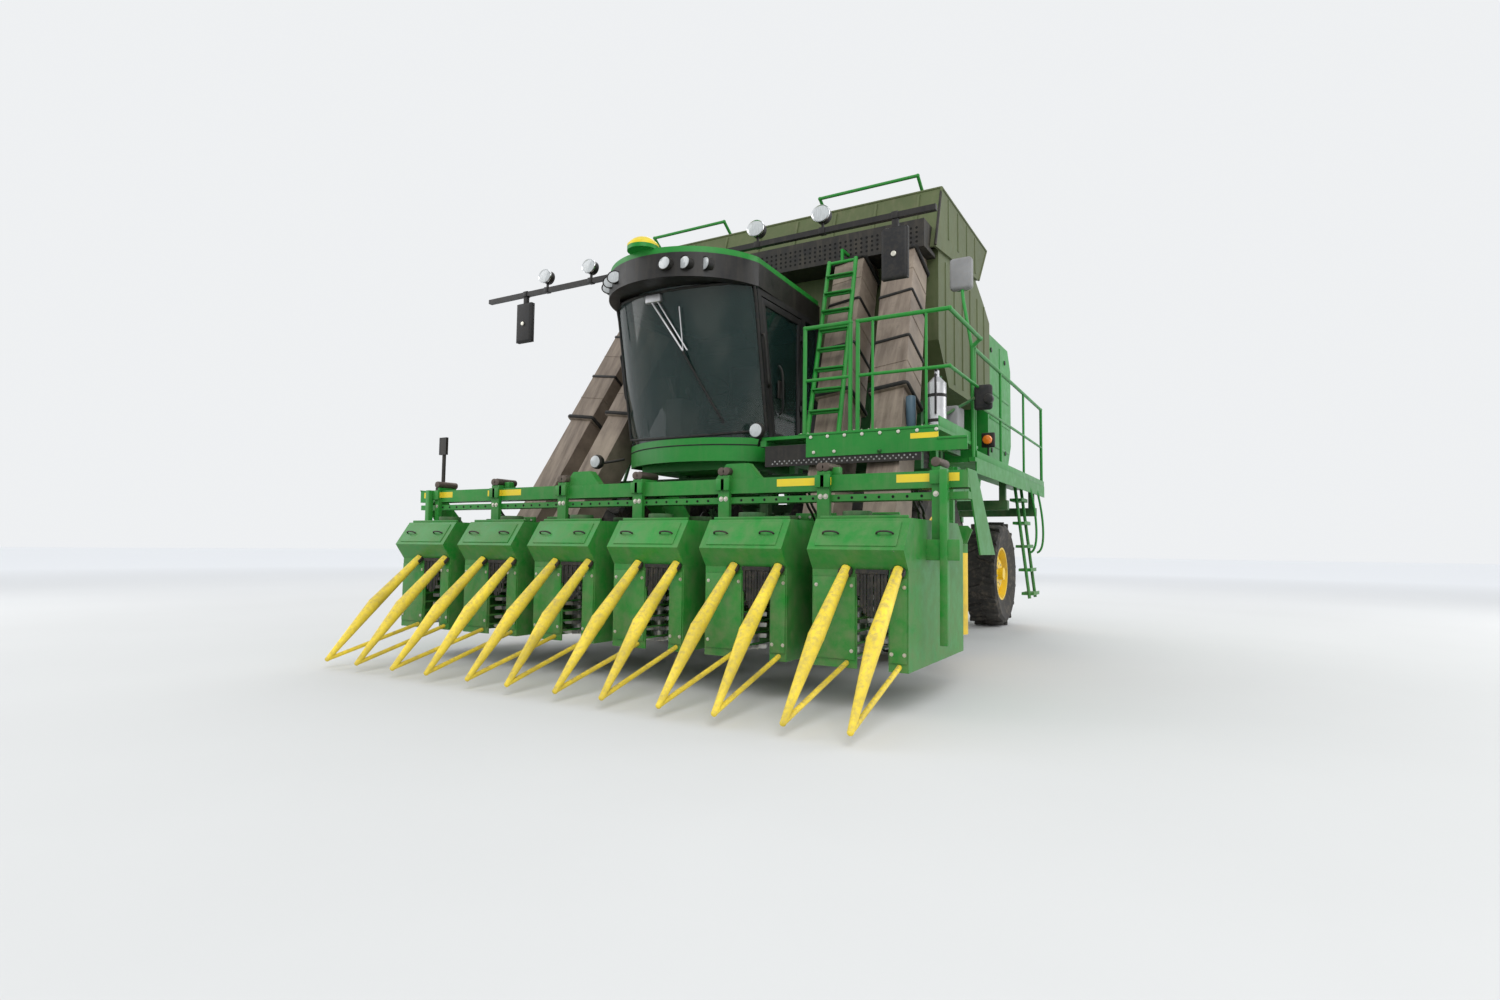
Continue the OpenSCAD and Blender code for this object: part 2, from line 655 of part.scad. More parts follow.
// Platform beside the cab: deck round the ducts, front plate, rails and the ladder to the accumulator
plat_x0 = cab_x + cab_w / 2 + 30;
plat_x1 = 2500;
plat_y = -2740;
plat_z = 2160;
rail_top = plat_z + 990;
rail_mid = plat_z + 500;
module front_platform() {
    ry = plat_y + 30;
    color(green) {
        block([1280, plat_y, plat_z - 210], [plat_x1, plat_y + 12, plat_z]);
        block([plat_x1 - 1, plat_y, plat_z - 210], [plat_x1 + 240, plat_y + 12, plat_z - 100]);
        difference() {
            block([plat_x0, plat_y + 11, plat_z - 30], [plat_x1, cab_rear, plat_z]);
            for (x = [duct_inner_x, duct_outer_x]) block([x - 330, -2590, plat_z - 40],
                [x + 110, -2000, plat_z + 10]);
            // clears the walkway's first rail post
            block([plat_x1 - 25, walk_y0 - 5, plat_z - 40], [plat_x1 + 10, cab_rear + 10, plat_z + 10]);
        }
        // joists and their feet on the chassis beam
        for (x = [plat_x0 + 20, 1640, 2240]) {
            block([x, plat_y + 11, plat_z - 90], [x + 60, cab_rear, plat_z - 29]);
            block([x, front_beam_y, front_beam_z], [x + 60, front_beam_y + 80, plat_z - 89]);
        }
        // rails
        tube_path([[1250, ry, plat_z - 1], [1250, ry, rail_top], [1700, ry, rail_top],
            [1700, ry, plat_z - 1]]);
        tube_path([[1770, ry, plat_z - 1], [1770, ry, rail_top], [2590, ry, rail_top],
            [2590, walk_y0 - 30, rail_top], [walk_x - 30, walk_y0 - 30, walk_z + 1070]]);
        rod([1250, ry, rail_mid], [1700, ry, rail_mid], thin_d);
        tube_path([[1770, ry, rail_mid], [2590, ry, rail_mid], [2590, walk_y0 - 30, rail_mid],
            [walk_x - 30, walk_y0 - 30, rail_mid - 60]], thin_d);
        rod([walk_x - 30, walk_y0 - 30, walk_z + 1070], [walk_x - 30, walk_y0 - 30, walk_z - walk_t],
            tube_d - 2);
        block([walk_x - 60, walk_y0 - 60, walk_z - walk_t], [walk_x, walk_y0, walk_z]);
        for (x = [1910, 2390]) rod([x, ry, plat_z - 1], [x, ry, rail_top], thin_d - 6);
        // ladder in front of the inner duct
        for (x = [0, ladder_w]) rod(ladder_a + [x, 0, 0], ladder_b + [x, 0, 0], 45);
        for (i = [1 : 8]) rod(ladder_a + (ladder_b - ladder_a) * i / 9,
            ladder_a + (ladder_b - ladder_a) * i / 9
            + [ladder_w, 0, 0], 30);
        rod(ladder_b - [0, 8, 20], ladder_b + [ladder_w, -8, -20], 36);
        block([ladder_b[0] + ladder_w / 2 - 14, ladder_b[1] - 20, ladder_b[2] - 30],
            [ladder_b[0] + ladder_w / 2 + 14, ladder_b[1] + 8, duct_top + 60]);
        block([ladder_b[0] + ladder_w / 2 - 14, ladder_b[1] - 20, duct_top + 32],
            [ladder_b[0] + ladder_w / 2 + 14, plenum_y - seat_gap, duct_top + 60]);
    }
    color(black) block([plat_x0 + 70, plat_y + 11, plat_z - 280], [2350, plat_y + 24, plat_z - 85]);
}
ladder_w = 310;
thin_d = tube_d - 8;
ladder_a = [1250, -2650, plat_z - 1];
ladder_b = ladder_a + 2410 * [-sin(duct_lean), sin(duct_slope) * cos(duct_lean),
    cos(duct_slope) * cos(duct_lean)];

// Walkway along the left side, its rails and the access steps
walk_y0 = -1600;
walk_y1 = 2200;
module side_walkway() {
    color(green) {
        block([2110, walk_y0, walk_z - walk_t], [walk_x, walk_y1, walk_z]);
        block([1980, cab_rear - 40, walk_z - walk_t], [2111, cab_rear + 300, walk_z]);
        block([walk_x - 12, walk_y0, walk_z - 150], [walk_x, walk_y1, walk_z - walk_t + 1]);
        tube_path([[walk_x - 30, walk_y0 + 40, walk_z - 1], [walk_x - 30, walk_y0 + 40, walk_z + 1070],
            [walk_x - 30, walk_y1 - 40, walk_z + 1070], [walk_x - 30, walk_y1 - 40, walk_z - 1]]);
        rod([walk_x - 30, walk_y0 + 40, walk_z + 540], [walk_x - 30, walk_y1 - 40, walk_z + 540], thin_d);
        for (y = [-400, 900]) rod([walk_x - 30, y, walk_z - 1], [walk_x - 30, y, walk_z + 1070],
            thin_d - 2);
        // riser up to the platform
        block([walk_x - 300, walk_y0 - 14, walk_z - walk_t], [walk_x - 80, walk_y0 + 1, walk_z]);
        // access steps
        for (y = [1250, 1650]) rod([2500, y, 520], [2330, y, walk_z - walk_t + 1], 40);
        for (i = [0 : 4]) block([2492 - i * 34 - 90, 1250, 560 + i * 300],
            [2492 - i * 34 + 60, 1650, 590 + i * 300]);
    }
}

// Fire extinguisher on the platform
module extinguisher() {
    color(steel) translate([2330, -2200, plat_z]) {
        cylinder(h = 470, d = 170);
        translate([0, 0, 469]) cylinder(h = 60, d1 = 170, d2 = 60);
        translate([0, 0, 528]) cylinder(h = 60, d = 45);
    }
}

// Guards that turn stalks away from the outer wheels
module stalk_guards() {
    for (s = sides) {
        color(green) {
            front_plate(-2200, -2180, [[s * 2290, 1180], [s * 2590, 1180], [s * 2640, 1300],
                [s * 2600, 1340],
                [s * 2290, 1340], [s * 2240, 1300]]);
            block([s * 2440 - 30, -2181, 1300], [s * 2440 + 30, front_beam_y, front_beam_z]);
            block([s * 2440 - 100, front_beam_y - 14, front_beam_z - 90],
                [s * 2440 + 60, front_beam_y, front_beam_z]);
        }
        color(yellow) translate([s * 2440, -2080, 380]) difference() {
            cylinder(h = 800, r = 130);
            translate([0, 0, -1]) cylinder(h = 802, r = 118);
            block([-200, 0, -1], [200, 200, 801]);
        }
        color(green) block([s * 2440 - 30, -2195, 1100], [s * 2440 + 30, -2180, 1185]);
    }
}

// Fixed front half of the module builder
gate_y = chamber_y + 60;
stool_x = frame_half - 60;
gate_split = chamber_y + 120;
wall_out = chamber_half + chamber_wall;
cover_x = 1930;
gate_cyl_x = wall_out + 50;
gate_barrel_pin = [1760, 3050];
gate_rod_pin = [3250, 3650];
module module_housing() {
    color(green) {
        for (s = sides) {
            side_plate(s > 0 ? chamber_half : -wall_out, s > 0 ? wall_out : -chamber_half,
                [[1500, 4080], [1500, 2400], [1780, 1860], [2040, 1640], [gate_split - 10, 1640],
                 [gate_split - 10, gate_z - 200], [gate_y - 110, gate_z - 200], [gate_y - 110, 4160],
                     [2300, 4160]]);
            // side covers, open behind the chamber wall
            difference() {
                side_plate(s > 0 ? wall_out - 1 : -cover_x, s > 0 ? cover_x : 1 - wall_out,
                    [[1560, 4100], [1560, 2340], [gate_split - 60, 2340], [gate_split + 180, 2700],
                     [gate_split + 180, 3850], [gate_split - 20, 4130]]);
                block([s > 0 ? wall_out - 2 : -cover_x + 30, 1590, 2300],
                    [s > 0 ? cover_x - 30 : 2 - wall_out, 4000, 4060]);
                block([s > 0 ? wall_out - 2 : -cover_x + 30, 2700, 2300],
                    [s > 0 ? cover_x - 30 : 2 - wall_out, 4000, 4300]);
            }
            // hinge lugs and pins of the rear gate
            side_plate(s > 0 ? wall_out + 5 : -wall_out - 45, s > 0 ? wall_out + 45 : -wall_out - 5,
                [[2560, 4070], [gate_y + 40, 4070], [gate_y + 60, gate_z + 20], [gate_y, gate_z + 60],
                    [2560, gate_z + 20]]);
            block([s > 0 ? wall_out - 1 : -wall_out - 6, 2560, 4060],
                [s > 0 ? wall_out + 6 : 1 - wall_out, 2690, 4150]);
            pipe_x(s > 0 ? chamber_half + 1 : -wall_out - 45, s > 0 ? wall_out + 45 : -chamber_half - 1,
                gate_y, gate_z, pin_d);
            // pins of the gate cylinders
            pipe_x(s > 0 ? wall_out - 1 : -gate_cyl_x - 26, s > 0 ? gate_cyl_x + 26 : 1 - wall_out,
                gate_barrel_pin[0], gate_barrel_pin[1], barrel_pin_d);
            // stools on the chassis
            for (y = [2050, 2700])
                block([s * stool_x - 50, y, frame_z1], [s * stool_x + 50, y + 100, 1560]);
        }
        for (y = [2050, 2700]) block([-wall_out, y, 1540], [wall_out, y + 100, 1660]);
        block([-chamber_half - 1, 2250, 4060], [chamber_half + 1, gate_y - 120, 4110]);
        block([-chamber_half + 6, gate_y - 121, 4060], [chamber_half - 6, gate_y - 40, 4110]);
    }
}

// Belts and rollers in the fixed half
module module_belts() {
    rollers = [for (a = [200, 228, 250, 145, 120]) [chamber_y + (chamber_r + roller_r) * cos(a),
        chamber_z + (chamber_r + roller_r) * sin(a)]];
    color(steel) for (p = rollers) pipe_x(-chamber_half, chamber_half, p[0], p[1], 2 * roller_r);
    color(black) intersection() {
        translate([-chamber_half + 10, chamber_y, chamber_z]) rotate([0, 90, 0]) difference() {
            cylinder(h = 2 * chamber_half - 20, r = chamber_r + 3, $fn = 160);
            translate([0, 0, -1]) cylinder(h = 2 * chamber_half, r = chamber_r + 3 - belt_t, $fn = 160);
        }
        union() {
            side_plate(-2000, 2000, [[chamber_y - 1300, chamber_z - 300], [chamber_y, chamber_z],
                [chamber_y - 170, chamber_z - 1300], [chamber_y - 1300, chamber_z - 1300]]);
            side_plate(-2000, 2000, [[chamber_y - 1300, chamber_z + 500], [chamber_y, chamber_z],
                [chamber_y - 170, chamber_z + 1300], [chamber_y - 1300, chamber_z + 1300]]);
        }
    }
}

// Rear gate of the module builder
module rear_gate() {
    y0 = gate_split + 5;
    shell_r = chamber_r + 160;
    rollers = [for (a = [60, 20, -20, -55]) [chamber_y + (chamber_r + roller_r) * cos(a),
        chamber_z + (chamber_r + roller_r) * sin(a)]];
    color(green) {
        difference() {
            union() {
                for (x = [-wall_out, chamber_half]) translate([x, 0, 0]) rotate([90, 0, 90])
                    linear_extrude(chamber_wall) difference() {
                        union() {
                            translate([chamber_y, chamber_z]) circle(r = shell_r);
                            translate([gate_y - 80, gate_z - 140]) square([260, 180]);
                        }
                        square([y0, gate_z - 140]);
                        translate([0, gate_z - 300]) square([gate_y - 80, 700]);
                        square([6000, 1700]);
                    }
                // curved back sheet, and a cross tube at the latch
                intersection() {
                    translate([-chamber_half - 1, chamber_y, chamber_z]) rotate([0, 90, 0]) difference() {
                        cylinder(h = 2 * chamber_half + 2, r = shell_r - 4);
                        translate([0, 0, -1]) cylinder(h = 2 * chamber_half + 4, r = shell_r - 15);
                    }
                    side_plate(-2000, 2000, [[y0 + 15, 3600], [y0 + 15, 4300], [5000, 4300],
                        [5000, 1720], [y0 + 200, 1720]]);
                }
                pipe_x(-chamber_half - 1, chamber_half + 1, y0 + 200, 1830, 120);
            }
            pipe_x(-2000, 2000, gate_y, gate_z, pin_d + 0.1);
        }
        // seats of the cylinder rods
        for (s = sides) pipe_x(s > 0 ? wall_out - 1 : -wall_out - 18, s > 0 ? wall_out + 18 : 1 - wall_out,
            gate_rod_pin[0], gate_rod_pin[1], 80);
    }
    color(steel) for (p = rollers) pipe_x(-chamber_half - 1, chamber_half + 1, p[0], p[1], 2 * roller_r);
}

// Hydraulic cylinders: a barrel on pin a and a rod with its eye on pin b, lying towards b
module cylinder_barrel(a, b, d, rod_d, l) {
    n = (b - a) / norm(b - a);
    difference() {
        union() {
            rod(a + n * 30, a + n * l, d);
            pipe_x(a[0] - 22, a[0] + 22, a[1], a[2], 90);
        }
        rod(a + n * 90, a + n * (l - 60), d - 20);
        rod(a + n * (l - 61), a + n * (l + 1), rod_d + 0.6);
        pipe_x(a[0] - 30, a[0] + 30, a[1], a[2], barrel_pin_d + 0.1);
    }
}
module cylinder_rod(a, b, d, l, eye) {
    n = (b - a) / norm(b - a);
    difference() {
        union() {
            rod(a + n * l, b - n * 30, d);
            pipe_x(b[0] - 22, b[0] + 22, b[1], b[2], 96);
        }
        pipe_x(b[0] - 30, b[0] + 30, b[1], b[2], eye);
    }
}
module lift_barrels() {
    color(black) for (s = sides) cylinder_barrel([s * cylinder_x, barrel_pin[0], barrel_pin[1]],
        [s * cylinder_x, rod_pin[0], rod_pin[1]], 100, 50, 600);
}
module lift_rods() {
    color(steel) for (s = sides) cylinder_rod([s * cylinder_x, barrel_pin[0], barrel_pin[1]],
        [s * cylinder_x, rod_pin[0], rod_pin[1]], 50, 260, 62);
}

// Toolbar with its rail, humps, hangers, end plates and the lift arms
module toolbar() {
    back = toolbar_front + toolbar_depth;
    z0 = toolbar_top - toolbar_h;
    rail_z = z0 - 30;
    color(green) {
        block([toolbar_x0, toolbar_front, z0], [toolbar_x1, back, toolbar_top]);
        block([toolbar_x0, toolbar_front + 10, rail_z - rail_h], [toolbar_x1, back - 20, rail_z]);
        for (x = [-720, 1010]) front_plate(toolbar_front + 20, toolbar_front + 100,
            [[x - 220, toolbar_top - 1], [x + 220, toolbar_top - 1], [x + 105, toolbar_top + 130],
                [x - 105, toolbar_top + 130]]);
        for (i = [0 : row_count - 1]) for (dx = [-560, 310]) {
            block([row_x(i) + dx - hanger_w / 2, toolbar_front - 30, toolbar_top - 20],
                [row_x(i) + dx + hanger_w / 2, back, toolbar_top + 30]);
            block([row_x(i) + dx - hanger_w / 2, toolbar_front - 30, 1080],
                [row_x(i) + dx + hanger_w / 2, toolbar_front + 11, toolbar_top]);
            block([row_x(i) + (dx < 0 ? dx - hanger_w / 2 : plate_side_w + passage_w / 2 + seat_gap),
                toolbar_front - 30, 1090],
                [row_x(i) + (dx < 0 ? -drum_side_w - passage_w / 2 - seat_gap : dx + hanger_w / 2),
                    toolbar_front + 10, 1150]);
        }
        for (x = [toolbar_x0 - 1, toolbar_x1 - 11]) side_plate(x, x + 12,
            [[toolbar_front - 10, toolbar_top + 10],
            [back + 60, toolbar_top + 10], [-2680, 1090], [-3160, 1090]]);
        // central beam between two row units, cross tube, and arms back to the hinge
        side_plate(-60, 100, [[back - 10, toolbar_top - 20], [back - 10, rail_z - rail_h], [-2420, 760],
            [-2260, 760], [-2260, 880], [back + 180, toolbar_top - 20]]);
        block([-lift_arm_x - 29, -2400, 740], [lift_arm_x + 29, -2250, 900]);
        for (s = sides) {
            difference() {
                side_plate(s * lift_arm_x - 30, s * lift_arm_x + 30, [[rod_pin[0] - 45, rod_pin[1] + 30],
                    [rod_pin[0] - 45, rod_pin[1] - 40], [-2390, 735], [lift_y - 60, lift_z - 70],
                        [lift_y + 70, lift_z - 60],
                    [lift_y + 80, lift_z + 60], [lift_y - 60, lift_z + 80], [-2260, 905],
                        [rod_pin[0], rod_pin[1] + 55]]);
                pipe_x(-1000, 1000, lift_y, lift_z, lift_pin_d + 0.1);
            }
            // pins for the lift cylinders
            pipe_x(s > 0 ? lift_arm_x + 29 : -cylinder_x - 25, s > 0 ? cylinder_x + 25 : -lift_arm_x - 29,
                rod_pin[0], rod_pin[1], 40);
        }
    }
    // small mirror and lamp on a post at the right end
    color(black) {
        rod([toolbar_x0 + 250, toolbar_front + 90, toolbar_top - 1],
            [toolbar_x0 + 250, toolbar_front + 90, 2150], 40);
        block([toolbar_x0 + 200, toolbar_front + 60, 2100], [toolbar_x0 + 310, toolbar_front + 90, 2290]);
    }
}

// Sheet metal cabinets of the row units: a head across the passage that the plants go through, a drum
// chamber beside it that is open towards the passage behind its grid bars, and the pressure plate side
head_outline = [[cabinet_front, passage_top], [cabinet_front - 100, 1120],
    [cabinet_front + 50, cabinet_top],
    [cabinet_rear - 150, cabinet_top], [cabinet_rear, 1200], [cabinet_rear, passage_top]];
grid_step = (passage_top - cabinet_floor) / spindle_layers;
module row_cabinets() {
    w = cabinet_wall;
    x0 = -passage_w / 2 - drum_side_w;
    x1 = passage_w / 2 + plate_side_w;
    top = passage_top - seat_gap;
    color(green) for (i = [0 : row_count - 1]) translate([row_x(i), 0, 0]) {
        side_plate(x0, x1, head_outline);
        difference() {
            block([x0, cabinet_front, cabinet_floor], [-passage_w / 2, cabinet_rear, top]);
            block([x0 + w, cabinet_front + w, cabinet_floor - 10],
                [-passage_w / 2 + 1, cabinet_rear - w, top + 1]);
        }
        for (k = [1 : spindle_layers - 1])
            block([-passage_w / 2 - 12, cabinet_front + w - 1, cabinet_floor + k * grid_step - 7],
            [-passage_w / 2 - 2, cabinet_rear - w + 1, cabinet_floor + k * grid_step + 7]);
        difference() {
            block([passage_w / 2, cabinet_front, cabinet_floor], [x1, cabinet_rear, top]);
            block([passage_w / 2 + w, cabinet_front + w, cabinet_floor + w],
                [x1 - w, cabinet_rear - w, top + 1]);
        }
    }
}

// Yellow stalk lifters, two on each row unit, cut where they meet the cabinets
module stalk_lifters() {
    color(yellow) difference() {
        for (i = [0 : row_count - 1]) for (p = [[-190, -215], [190, 215]]) {
            top = [row_x(i) + p[0], cabinet_front - 10, 990];
            knee = [row_x(i) + p[0] * 1.05, -4480, 560];
            tip = [row_x(i) + p[1], -4900, 90];
            taper_rod(top, knee, 70, lifter_d);
            translate(knee) sphere(d = lifter_d * 1.02);
            taper_rod(knee, tip, lifter_d, 40);
            translate(tip) sphere(d = 42);
            rod(tip, [row_x(i) + p[0], cabinet_front + 20, cabinet_floor + 40], 36);
        }
        side_plate(-3500, 3500, [[cabinet_front - seat_gap, 100], [cabinet_front - seat_gap, passage_top],
            [cabinet_front - 100 - seat_gap, 1120], [cabinet_rear, 1120], [cabinet_rear, 100]]);
    }
}
module taper_rod(a, b, d1, d2) {
    v = b - a;
    l = norm(v);
    translate(a) rotate([0, acos(v[2] / l), atan2(v[1], v[0])]) rotate([0, 0, 29])
        cylinder(h = l, d1 = d1, d2 = d2);
}

// Picker drums, two in line in each row unit, with a ring of spindles on each layer
function spindle_ring() = [for (k = [0 : 2 * spindles - 1]) (k % 2 ? drum_r * 0.6 : drum_r)
    * [cos(k * 180 / spindles), sin(k * 180 / spindles)]];
spindles = 10;
module picker_drums() {
    color(steel) for (i = [0 : row_count - 1]) for (y = [cabinet_front + 400, cabinet_rear - 380])
        translate([row_x(i) - passage_w / 2 - drum_side_w + cabinet_wall + drum_r + 20, y, cabinet_floor]) {
            rotate([0, 0, 180 / spindles / 2]) translate([0, 0, 20])
                cylinder(h = passage_top - cabinet_floor - 20 - 2 * seat_gap, r = 70);
            for (k = [0 : spindle_layers - 1]) translate([0, 0, (k + 0.5) * grid_step - 16])
                linear_extrude(32) polygon(spindle_ring());
        }
}

// Tyres and rims
lug_count = 16;
lug_h = 38;
module tyre(r, w, bead) {
    reach = r * 0.075;
    lug_top = sqrt(r * r - reach * reach);
    tread = r - lug_h;
    phase = asin(0.075);
    // the profile's seam lies between the lugs
    rotate([0, 0, phase + 90 / lug_count]) rotate_extrude($fn = 40)
        polygon([[bead, -w * 0.36], [r * 0.86, -w / 2],
        [tread * 0.975, -w * 0.45], [tread, -w * 0.36], [tread, w * 0.36], [tread * 0.975, w * 0.45],
            [r * 0.86, w / 2],
        [bead, w * 0.36]]);
    for (i = [0 : lug_count - 1]) for (s = sides)
        rotate([0, 0, phase + (i + (s > 0 ? 0 : 0.5)) * 360 / lug_count])
        translate([tread - 85, 0, 0]) rotate([90, 0, 90]) linear_extrude(lug_top - tread + 85)
            polygon([for (p = [[-1, -0.03], [-0.25, -0.03], [1, 0.33], [1, 0.465],
                [0.3, 0.465]]) [p[0] * reach, s * p[1] * w]]);
}
module rim(bead, w, out) {
    rotate_extrude() polygon([[bead - 0.5, -w * 0.36], [bead - 0.5, w * 0.36], [bead - 25, w * 0.36],
        [bead - 40, w * 0.2],
        [bead - 40, out * 60 + 12], [200, out * 110 + 12], [200, out * 110 - 12],
            [bead - 40, out * 60 - 12], [bead - 40, -w * 0.2],
        [bead - 25, -w * 0.36]]);
}
front_bead = 540;
rear_bead = 390;
module front_tyres(s) {
    color(black) for (x = [front_x1, front_x2]) translate([s * x, front_y, front_r]) rotate([0, 90, 0])
        tyre(front_r, front_w, front_bead);
}
module front_rims(s) {
    color(yellow) translate([0, front_y, front_r]) rotate([0, 90, 0]) {
        for (x = [front_x1, front_x2]) translate([0, 0, s * x]) rim(front_bead, front_w, s);
        for (x = [front_x1, front_x2]) translate([0, 0, s * (x + 110)]) cylinder(h = 50, r = 215,
            center = true);
        translate([0, 0, s > 0 ? hub_x + seat_gap : -front_x1 - 125])
            cylinder(h = front_x1 + 125 - hub_x - seat_gap, r = 130);
        translate([0, 0, s > 0 ? front_x1 + 100 : -front_x2 - 200])
            cylinder(h = front_x2 - front_x1 + 100, r = 140);
    }
}
module rear_tyre(s) {
    color(black) translate([s * rear_x, rear_y, rear_r]) rotate([0, 90, 0]) tyre(rear_r, rear_w, rear_bead);
    color(yellow) translate([s * rear_x, rear_y, rear_r]) rotate([0, 90, 0]) {
        rim(rear_bead, rear_w, s);
        translate([0, 0, s * 100]) cylinder(h = 60, r = 210, center = true);
        translate([0, 0, s * 150]) cylinder(h = 100, r = 90, center = true);
    }
}
module knuckle(s) {
    color(dark_green) {
        difference() {
            union() {
                for (z = [rear_r - 145, rear_r + 95]) translate([s * kingpin_x, rear_y, z])
                    cylinder(h = 50, d = 150);
                block([s > 0 ? kingpin_x - 40 : -kingpin_x - 120, rear_y - 60, rear_r + 95],
                    [s > 0 ? kingpin_x + 120 : 40 - kingpin_x, rear_y + 60, rear_r + 145]);
                block([s > 0 ? kingpin_x - 40 : -kingpin_x - 120, rear_y - 60, rear_r - 145],
                    [s > 0 ? kingpin_x + 120 : 40 - kingpin_x, rear_y + 60, rear_r - 95]);
                block([s > 0 ? kingpin_x + 90 : -kingpin_x - 120, rear_y - 60, rear_r - 145],
                    [s > 0 ? kingpin_x + 120 : -kingpin_x - 90, rear_y + 60, rear_r + 145]);
            }
        }
        translate([s * kingpin_x, rear_y, rear_r - 100]) cylinder(h = 200, d = kingpin_d - 0.1);
        pipe_x(s > 0 ? kingpin_x + 110 : -rear_x - 70 + seat_gap,
            s > 0 ? rear_x + 70 - seat_gap : -kingpin_x - 110,
            rear_y, rear_r, 140);
        // steering arm towards the front
        block([s > 0 ? kingpin_x - 90 : -kingpin_x + 30, rear_y - 330, rear_r + 110],
            [s > 0 ? kingpin_x - 30 : -kingpin_x + 90, rear_y - 20, rear_r + 140]);
    }
}
module tie_rod() {
    color(steel) {
        pipe_x(-kingpin_x + 60, kingpin_x - 60, rear_y - 300, rear_r + 140 + 22.5 + seat_gap, 45);
    }
}

// Left door of the cab
door_gap = 6;
module cab_door() {
    x1 = cab_x + cab_w / 2;
    color(black) {
        difference() {
            side_plate(x1 - 45, x1 - 5, door_outline(door_gap));
            side_plate(x1 - 60, x1 + 60, door_outline(90));
        }
        for (z = hinge_z) difference() {
            union() {
                translate([hinge_x, hinge_y, z + 60]) cylinder(h = 60, d = 24);
                block([x1 - 10, hinge_y - 40, z + 60], [hinge_x, hinge_y - 2, z + 120]);
            }
            translate([hinge_x, hinge_y, z]) cylinder(h = 200, d = hinge_pin_d + 0.1);
        }
    }
    color([0.2, 0.3, 0.35, 0.4]) side_plate(x1 - 30, x1 - 30 + glass_t, door_outline(90));
}
function door_outline(g) = [[a_foot_y + pillar + g * 1.2 - lean_at(glass_bottom + g), glass_bottom + g],
    [b_post_y - g, glass_bottom + g], [b_post_y - g, glass_top - 60 - g],
    [a_foot_y + pillar + g * 1.2 - lean_at(glass_top - 60 - g), glass_top - 60 - g]];

// Gate cylinders beside the chamber
module gate_barrels() {
    color(black) for (s = sides) cylinder_barrel([s * gate_cyl_x, gate_barrel_pin[0], gate_barrel_pin[1]],
        [s * gate_cyl_x, gate_rod_pin[0], gate_rod_pin[1]], 80, 45, 1100);
}
module gate_rods() {
    color(steel) for (s = sides) cylinder_rod([s * gate_cyl_x, gate_barrel_pin[0], gate_barrel_pin[1]],
        [s * gate_cyl_x, gate_rod_pin[0], gate_rod_pin[1]], 45, 500, barrel_pin_d);
}

// Cradle that lowers a finished module to the ground
handler_y = 3700;
handler_z = 1080;
handler_x = 900;
module module_handler() {
    color(green) {
        for (s = sides) {
            difference() {
                side_plate(s * handler_x - 40, s * handler_x + 40,
                    [[handler_y - 70, handler_z - 60], [handler_y + 60, handler_z - 80],
                    [4860, 700], [4900, 760], [4840, 900], [4300, 1000],
                        [handler_y + 40, handler_z + 90], [handler_y - 70, handler_z + 70]]);
                pipe_x(-1200, 1200, handler_y, handler_z, pin_d + 0.1);
            }
        }
        for (p = [[4780, 790], [4250, 900]]) pipe_x(-1150, 1150, p[0], p[1], 120);
    }
}

main_frame();
front_axle();
rear_axle();
engine_block();
engine_enclosure();
air_fans();
accumulator();
accumulator_hood();
upper_ducts();
cab_base();
cab_frame();
cab_glass();
cab_roof();
mirror_bar();
receiver_dome();
beacon();
cab_interior();
front_platform();
side_walkway();
extinguisher();
stalk_guards();
module_housing();
module_belts();
toolbar();
row_cabinets();
stalk_lifters();
picker_drums();
lower_ducts(1);  // lower_ducts_left
lower_ducts(-1);  // lower_ducts_right
lift_barrels();
lift_rods();
cab_door();
front_tyres(1);  // front_tyres_left
front_rims(1);  // front_rims_left
front_tyres(-1);  // front_tyres_right
front_rims(-1);  // front_rims_right
knuckle(1);  // knuckle_left
knuckle(-1);  // knuckle_right
rear_tyre(1);  // rear_tyre_left
rear_tyre(-1);  // rear_tyre_right
tie_rod();
rear_gate();
gate_barrels();
gate_rods();
module_handler();
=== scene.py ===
# Six-row cotton picker: finishes, small parts, floor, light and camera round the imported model
import math
import bpy
from mathutils import Matrix, Vector


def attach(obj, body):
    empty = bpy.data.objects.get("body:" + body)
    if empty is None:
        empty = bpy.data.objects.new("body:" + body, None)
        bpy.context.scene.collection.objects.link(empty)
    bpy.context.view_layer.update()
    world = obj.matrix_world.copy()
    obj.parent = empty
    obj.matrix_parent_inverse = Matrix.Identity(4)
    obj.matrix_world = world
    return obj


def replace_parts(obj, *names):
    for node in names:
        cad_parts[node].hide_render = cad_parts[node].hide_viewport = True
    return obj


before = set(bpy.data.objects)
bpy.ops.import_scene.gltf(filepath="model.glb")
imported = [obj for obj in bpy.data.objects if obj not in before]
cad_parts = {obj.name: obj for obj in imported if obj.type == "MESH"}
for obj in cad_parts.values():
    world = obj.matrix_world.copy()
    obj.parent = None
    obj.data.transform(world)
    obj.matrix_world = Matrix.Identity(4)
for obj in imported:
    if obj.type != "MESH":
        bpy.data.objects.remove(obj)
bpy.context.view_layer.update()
print("packed model loaded")


